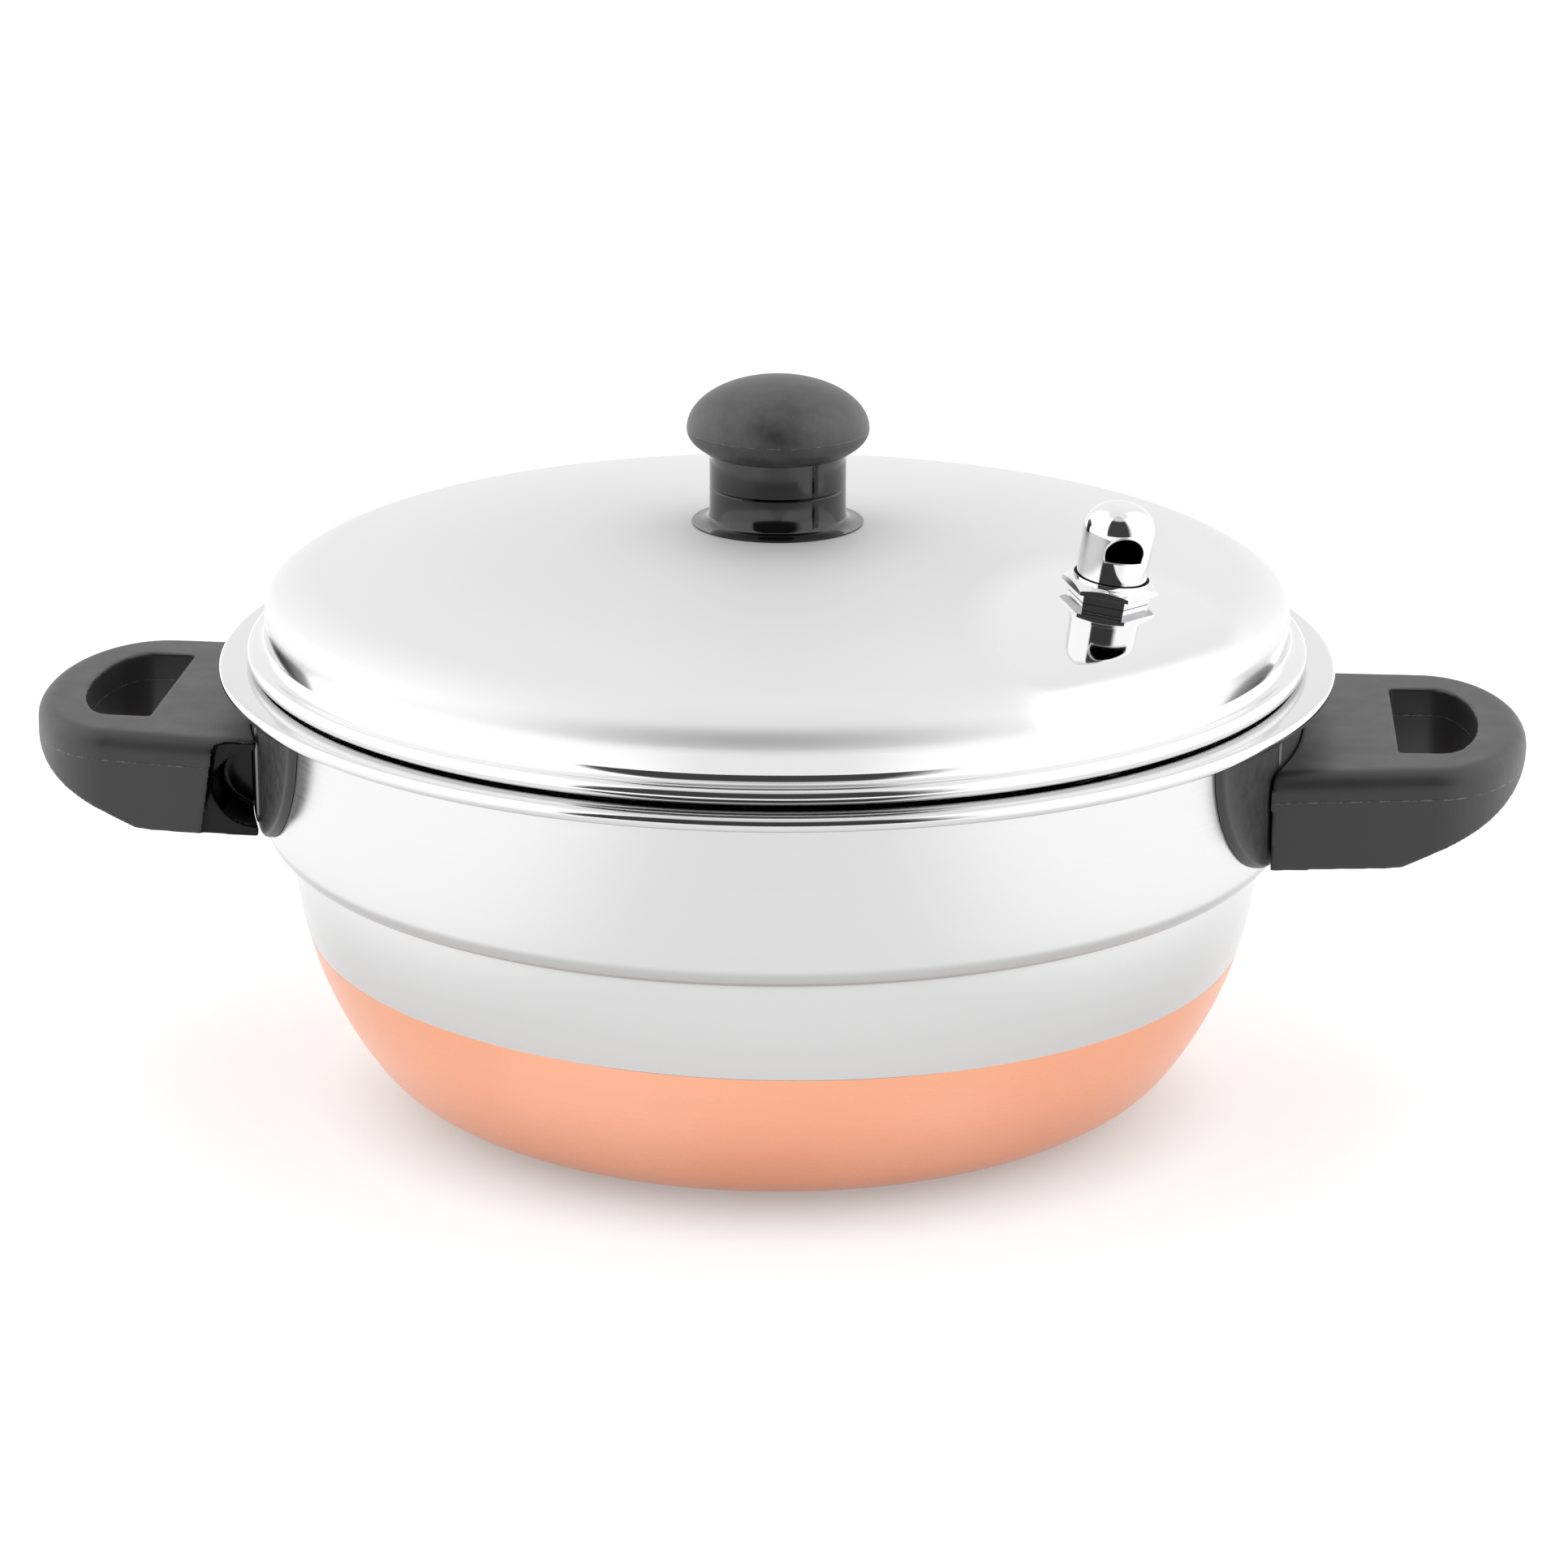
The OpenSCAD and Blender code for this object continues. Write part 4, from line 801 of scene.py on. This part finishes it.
def makeVent(p, l, v):
    place = ventPlace(p, l, v)
    outer = v["cap"] / 2
    inner = outer - v["wall"]
    base = v["hexHigh"] + v["lipHigh"] + v["coneHigh"] + v["ringHigh"] + v["gap"]
    top, soft, rings = v["height"], v["chamfer"], v["rings"]
    bend = top - v["fillet"]
    shell = joined([(inner, base), (outer - soft, base), (outer, base + soft)],
                   [(outer, base + soft + (bend - base) * i / rings) for i in range(rings)],
                   arcPoints((outer - v["fillet"], bend), v["fillet"], 0, 90, 5),
                   [(0, top), (0, top - v["wall"])],
                   arcPoints((outer - v["fillet"], bend), v["fillet"] - v["wall"], 90, 0, 10),
                   [(inner, base)])
    piece = spinProfile("ventCap", shell, v["steps"])
    middle = top * v["holeShare"]
    flat = middle - v["holeWide"] * v["flatShare"]
    combined(piece, ventHoleCutter(v, middle, flat))
    smoothed(piece, 30)
    heart = Vector((0, 0, bend / 1000))
    # the faces inside the cap get the painted shade
    inside = [face.index for face in piece.data.polygons
              if math.hypot(face.center.x, face.center.y) < (inner + 0.05) / 1000
              and (face.center.z < (bend + 2) / 1000 or face.normal.dot(face.center - heart) < 0)]
    lip = ventLip(v, outer, middle, flat)
    picked(piece)
    lip.select_set(True)
    bpy.ops.object.join()
    setDown(piece, place)
    dressed(piece, "lid", chrome, "vent_cap")
    secondFinish(piece, ventHollowShade, inside)

    # the hexagonal base, its edges softened by tumbling before it was plated
    piece = mergedCopy("vent_nipple", "ventNipple")
    applied(piece, "BEVEL", width=v["hexRound"] / 1000, segments=2, limit_method="ANGLE",
            angle_limit=math.radians(35))
    smoothed(piece, 40)
    applied(piece, "WEIGHTED_NORMAL", weight=80, keep_sharp=True)
    back = place.inverted()
    centres = [back @ face.center for face in piece.data.polygons]
    # the nipple's top, inside the cap, gets the painted shade
    inside = [index for index, spot in enumerate(centres)
              if spot.z > (base - 0.2) / 1000 and math.hypot(spot.x, spot.y) < (inner + 0.3) / 1000]
    dressed(piece, "lid", chrome, "vent_nipple")
    secondFinish(piece, ventHollowShade, inside)


makeVent(pot, lid, vent)

# the handles, drawn on the right and turned round for the left
guard = {"innerGap": 0.1, "thick": 1.8, "high": 32.8, "roundHigh": 30.5, "topHalf": 65, "half": 64.4,
         "flatHalf": 37, "edgeRound": 1.3, "drop": 37.5, "tongueRise": 10.8, "tongueHalf": 11, "sheet": 1,
         "footRise": 4.8, "footHigh": 15, "footHalf": 33, "clear": 0.1, "backClear": 0.15, "sideClear": 0.3,
         "cutFrom": 60, "cutTo": 140, "doubles": 0.4}
grip = {"reach": 45.4, "half": 43.2, "taper": 4.6, "drop": 37.5, "high": 23, "incline": 1.6, "root": 2.55,
        "end": 24, "blunt": 0.97, "nose": 18.6, "seam": 16.4, "leanIn": 0.9, "topRound": 4, "slope": 30.5,
        "curve": 13, "curveRise": 7.7, "curlPull": 1.2, "curlRise": 13.1, "holeTip": 12, "holeWide": 19.2,
        "holeHalf": 25.5, "holeRound": 9.6, "reliefLow": 9.1, "reliefTop": 5.3, "reliefHigh": 22.4,
        "reliefDeep": 2.2, "reliefLean": 0.17, "flankIn": 0.35, "coreMiddle": 11.6, "coreHalf": 9.1,
        "coreLong": 11.6, "coreBack": 15, "coreFloor": 29, "voxel": 0.5, "rub": 5, "screw": 8.2,
        "well": 11, "wellDeep": 6, "bore": 5.4,
        "insert": 9.1, "insertLow": 14, "insertLong": 7.2, "tongueLong": 15.5,
        "cutFrom": 80, "cutSide": 60, "endSteps": 40}


def turnedRound(piece):
    setDown(piece, Matrix.Rotation(math.pi, 4, "Z"))


def tongueSlot(p, g):
    # half width, bottom and top of the slot for the bracket's tongue
    bottom = p["height"] - g["drop"] + g["tongueRise"] - g["clear"]
    return g["tongueHalf"] + g["sideClear"], bottom, bottom + g["sheet"] + 2 * g["clear"]


def makeGuard(side, p, g):
    low = p["height"] - g["drop"]
    inner = p["wall"] + g["innerGap"]
    outer = inner + g["thick"]
    span = g["cutFrom"], g["cutTo"]
    ring = [(inner, low), (outer, low), (outer, low + g["high"]), (inner, low + g["high"]), (inner, low)]
    piece = spinProfile("guard" + side.capitalize(), ring, p["steps"])
    corner = ovalPoints((g["flatHalf"], low + g["roundHigh"]), g["half"] - g["flatHalf"],
                        g["roundHigh"], 0, -90, 6)
    outline = [(g["topHalf"], low + g["high"] + 1)] + corner
    outline += [(-y, z) for y, z in reversed(outline)]
    combined(piece, drawPrism("guardOutline", outline, "YZ", *span), "INTERSECT")
    # the outer edge is rounded first
    bpy.ops.object.mode_set(mode="EDIT")
    bpy.ops.mesh.select_all(action="SELECT")
    bpy.ops.mesh.remove_doubles(threshold=g["doubles"] / 1000)
    corners = piece.data.vertices
    pickFaces(piece, lambda face: all(math.hypot(*corners[i].co[:2]) > (outer - 0.02) / 1000
                                      for i in face.vertices))
    bpy.ops.mesh.region_to_loop()
    bpy.ops.mesh.bevel(offset=g["edgeRound"] / 1000, segments=5, affect="EDGES", clamp_overlap=True)
    bpy.ops.mesh.select_mode(type="VERT")
    bpy.ops.object.mode_set(mode="OBJECT")
    # the pocket for the bracket's foot, and the slot for its tongue
    near, far = inner - 1, p["wall"] + g["sheet"] + g["backClear"]
    foot, head = low + g["footRise"] - g["clear"], low + g["footRise"] + g["footHigh"] + g["clear"]
    pocket = spinProfile("footPocket", [(near, foot), (far, foot), (far, head), (near, head), (near, foot)],
                         p["steps"])
    edge = g["footHalf"] + g["clear"]
    width = [(edge, 60), (edge, 110), (-edge, 110), (-edge, 60)]
    combined(pocket, drawPrism("footWidth", width, "YZ", *span), "INTERSECT")
    combined(piece, pocket)
    half, bottom, top = tongueSlot(p, g)
    slot = [(half, bottom), (half, top), (-half, top), (-half, bottom)]
    combined(piece, drawPrism("tongueSlot", slot, "YZ", *span))
    if side == "left":
        turnedRound(piece)
    smoothed(piece, 35)
    dressed(piece, "pot", guardPhenolic, "handle_saddle_" + side)


def gripBody(side, p, g):
    # plan with its rounded end, then the side view cut from it
    low = p["height"] - g["drop"]
    reach = p["rim"] + g["reach"]
    ends = reach - g["end"]
    narrow = math.tan(math.radians(g["taper"]))
    endHalf = g["half"] - (ends - p["wall"]) * narrow
    turns = [math.radians(90 - 180 * i / g["endSteps"]) for i in range(g["endSteps"] + 1)]
    tip = [(ends + g["end"] * abs(math.cos(t)) ** g["blunt"],
            math.copysign(endHalf * abs(math.sin(t)) ** g["blunt"], math.sin(t))) for t in turns]
    inPot = 100
    rootHalf = g["half"] + (p["wall"] - inPot) * narrow
    plan = [(inPot, rootHalf)] + tip + [(inPot, -rootHalf)]
    piece = drawPrism("grip" + side.capitalize(), plan, "XY", low, low + g["seam"])
    pickFaces(piece, lambda face: face.normal.z < -0.9)
    bpy.ops.transform.resize(value=(1, 1 - g["leanIn"] / g["half"], 1), center_override=(0, 0, low / 1000))
    pickFaces(piece, lambda face: face.normal.z > 0.9)
    bpy.ops.mesh.extrude_region_move(TRANSFORM_OT_translate={"value": (0, 0, (g["high"] - g["seam"]) / 1000)})
    bpy.ops.mesh.bevel(offset=g["topRound"] / 1000, segments=6, affect="EDGES", clamp_overlap=True)
    bpy.ops.object.mode_set(mode="OBJECT")
    # the slope under the nose goes on a little below the grip, so that the cut is clean
    start, past = g["cutFrom"], 2
    slopeBack = (g["slope"] - g["curve"]) / g["curveRise"] * past
    nose = pulledPoints((reach - g["curve"], low + g["curveRise"]),
                        (reach - g["curlPull"], low + g["curlRise"]), (reach, low + g["nose"]), 12)
    sideView = ([(start, low - past), (reach - g["slope"] - slopeBack, low - past)] + nose
                + [(reach + 1, low + g["nose"] + 1), (reach + 1, low + g["high"] + 5),
                   (start, low + g["high"] + 5)])
    combined(piece, drawPrism("gripSideView", sideView, "XZ", -g["cutSide"], g["cutSide"]), "INTERSECT")
    hinge = Matrix.Translation((p["wall"] / 1000, 0, low / 1000))
    setDown(piece, hinge @ Matrix.Rotation(-math.radians(g["incline"]), 4, "Y") @ hinge.inverted())
    return piece, low, reach


def makeGrip(side, p, g, q):
    piece, low, reach = gripBody(side, p, g)
    wall, root, start = p["wall"], p["wall"] + g["root"], g["cutFrom"]
    combined(piece, standingCylinder(root, 0, low - 20, low + 60, 256))
    # the finger hole
    far = reach - g["holeTip"]
    near = far - g["holeWide"]
    hole = ([(near, g["holeHalf"])]
            + ovalPoints((far - g["holeRound"], 0), g["holeRound"], g["holeHalf"], 90, -90, 5)
            + [(near, -g["holeHalf"])])
    combined(piece, drawPrism("fingerHole", hole, "XY", low - 10, low + 50))
    # the shallow relief in one flank, and the deep core-out in it
    flank = g["half"] - g["flankIn"]
    reliefX, reliefTop, reliefZ = wall + g["reliefLow"], wall + g["reliefTop"], low + g["reliefHigh"]
    relief = [(start, low - 5), (reliefX, low - 5), (reliefX, low), (reliefTop + 0.3, reliefZ - 2),
              (reliefTop - 2, reliefZ), (start, reliefZ)]
    combined(piece, drawPrism("relief", relief, "XZ", flank - g["reliefDeep"], g["cutSide"]))
    rootX, coreZ = math.sqrt(root ** 2 - g["half"] ** 2), low + g["coreMiddle"]
    back = rootX - g["coreBack"]
    core = ([(back, coreZ - g["coreHalf"])]
            + ovalPoints((rootX, coreZ), g["coreLong"], g["coreHalf"], -90, 90, 10)
            + [(back, coreZ + g["coreHalf"])])
    combined(piece, drawPrism("coreOut", core, "XZ", g["coreFloor"], g["cutSide"]))
    # rubbed smooth, as a mould leaves its edges
    applied(piece, "REMESH", mode="VOXEL", voxel_size=g["voxel"] / 1000)
    applied(piece, "SMOOTH", factor=0.5, iterations=g["rub"])
    # from below: the screw's well and bore, the insert's seat, and the slot for the tongue
    x, seat = wall + g["screw"], low + g["insertLow"]
    combined(piece, standingCylinder(g["well"] / 2, x, low - 5, low + g["wellDeep"]))
    combined(piece, standingCylinder(g["bore"] / 2, x, low, seat + 2))
    combined(piece, standingCylinder(g["insert"] / 2, x, seat - 0.1, seat + g["insertLong"]))
    half, bottom, top = tongueSlot(p, q)
    end = wall + g["tongueLong"]
    slot = [(start, bottom), (end, bottom), (end, top), (start, top)]
    combined(piece, drawPrism("tongueSlot", slot, "XZ", -half, half))
    # the relief and the core-out get the deep black: painted shade in those hollows, on a glossier skin
    glossyShadedFaces = [face.index for face in piece.data.polygons
             if face.center.x + (face.center.z - low / 1000) * g["reliefLean"] < (reliefX + 0.2) / 1000
             and (g["coreFloor"] - 0.4) / 1000 < face.center.y < (flank - 0.4) / 1000
             and low / 1000 < face.center.z < (reliefZ + 0.3) / 1000 and abs(face.normal.z) < 0.7]
    if side == "left":
        turnedRound(piece)
    smoothed(piece, 40)
    dressed(piece, "pot", gripPhenolic, "handle_grip_" + side)
    secondFinish(piece, hollowShadeBlack, glossyShadedFaces)


for side in ("left", "right"):
    makeGuard(side, pot, guard)
    makeGrip(side, pot, grip, guard)

# the pieces carried over from the CAD model; what isn't named here is zinc plated
# the brackets and backplates are dark grey as painted shade
finishOf = {"handle_bracket_left": shadedStrip, "handle_bracket_right": shadedStrip, "handle_backplate_left": shadedStrip,
            "handle_backplate_right": shadedStrip, "handle_inserts": brass, "knob_insert": brass,
            "vent_gasket": silicone, "vent_nut": chrome, "stack_rod": plateSteel, "plate_spacer": plateSteel,
            "idli_plate_lower": plateSteel, "idli_plate_upper": plateSteel}
for name, piece in nodes.items():
    piece.data.materials.clear()
    piece.data.materials.append(finishOf.get(name, zinc))
print("carried-over pieces finished")
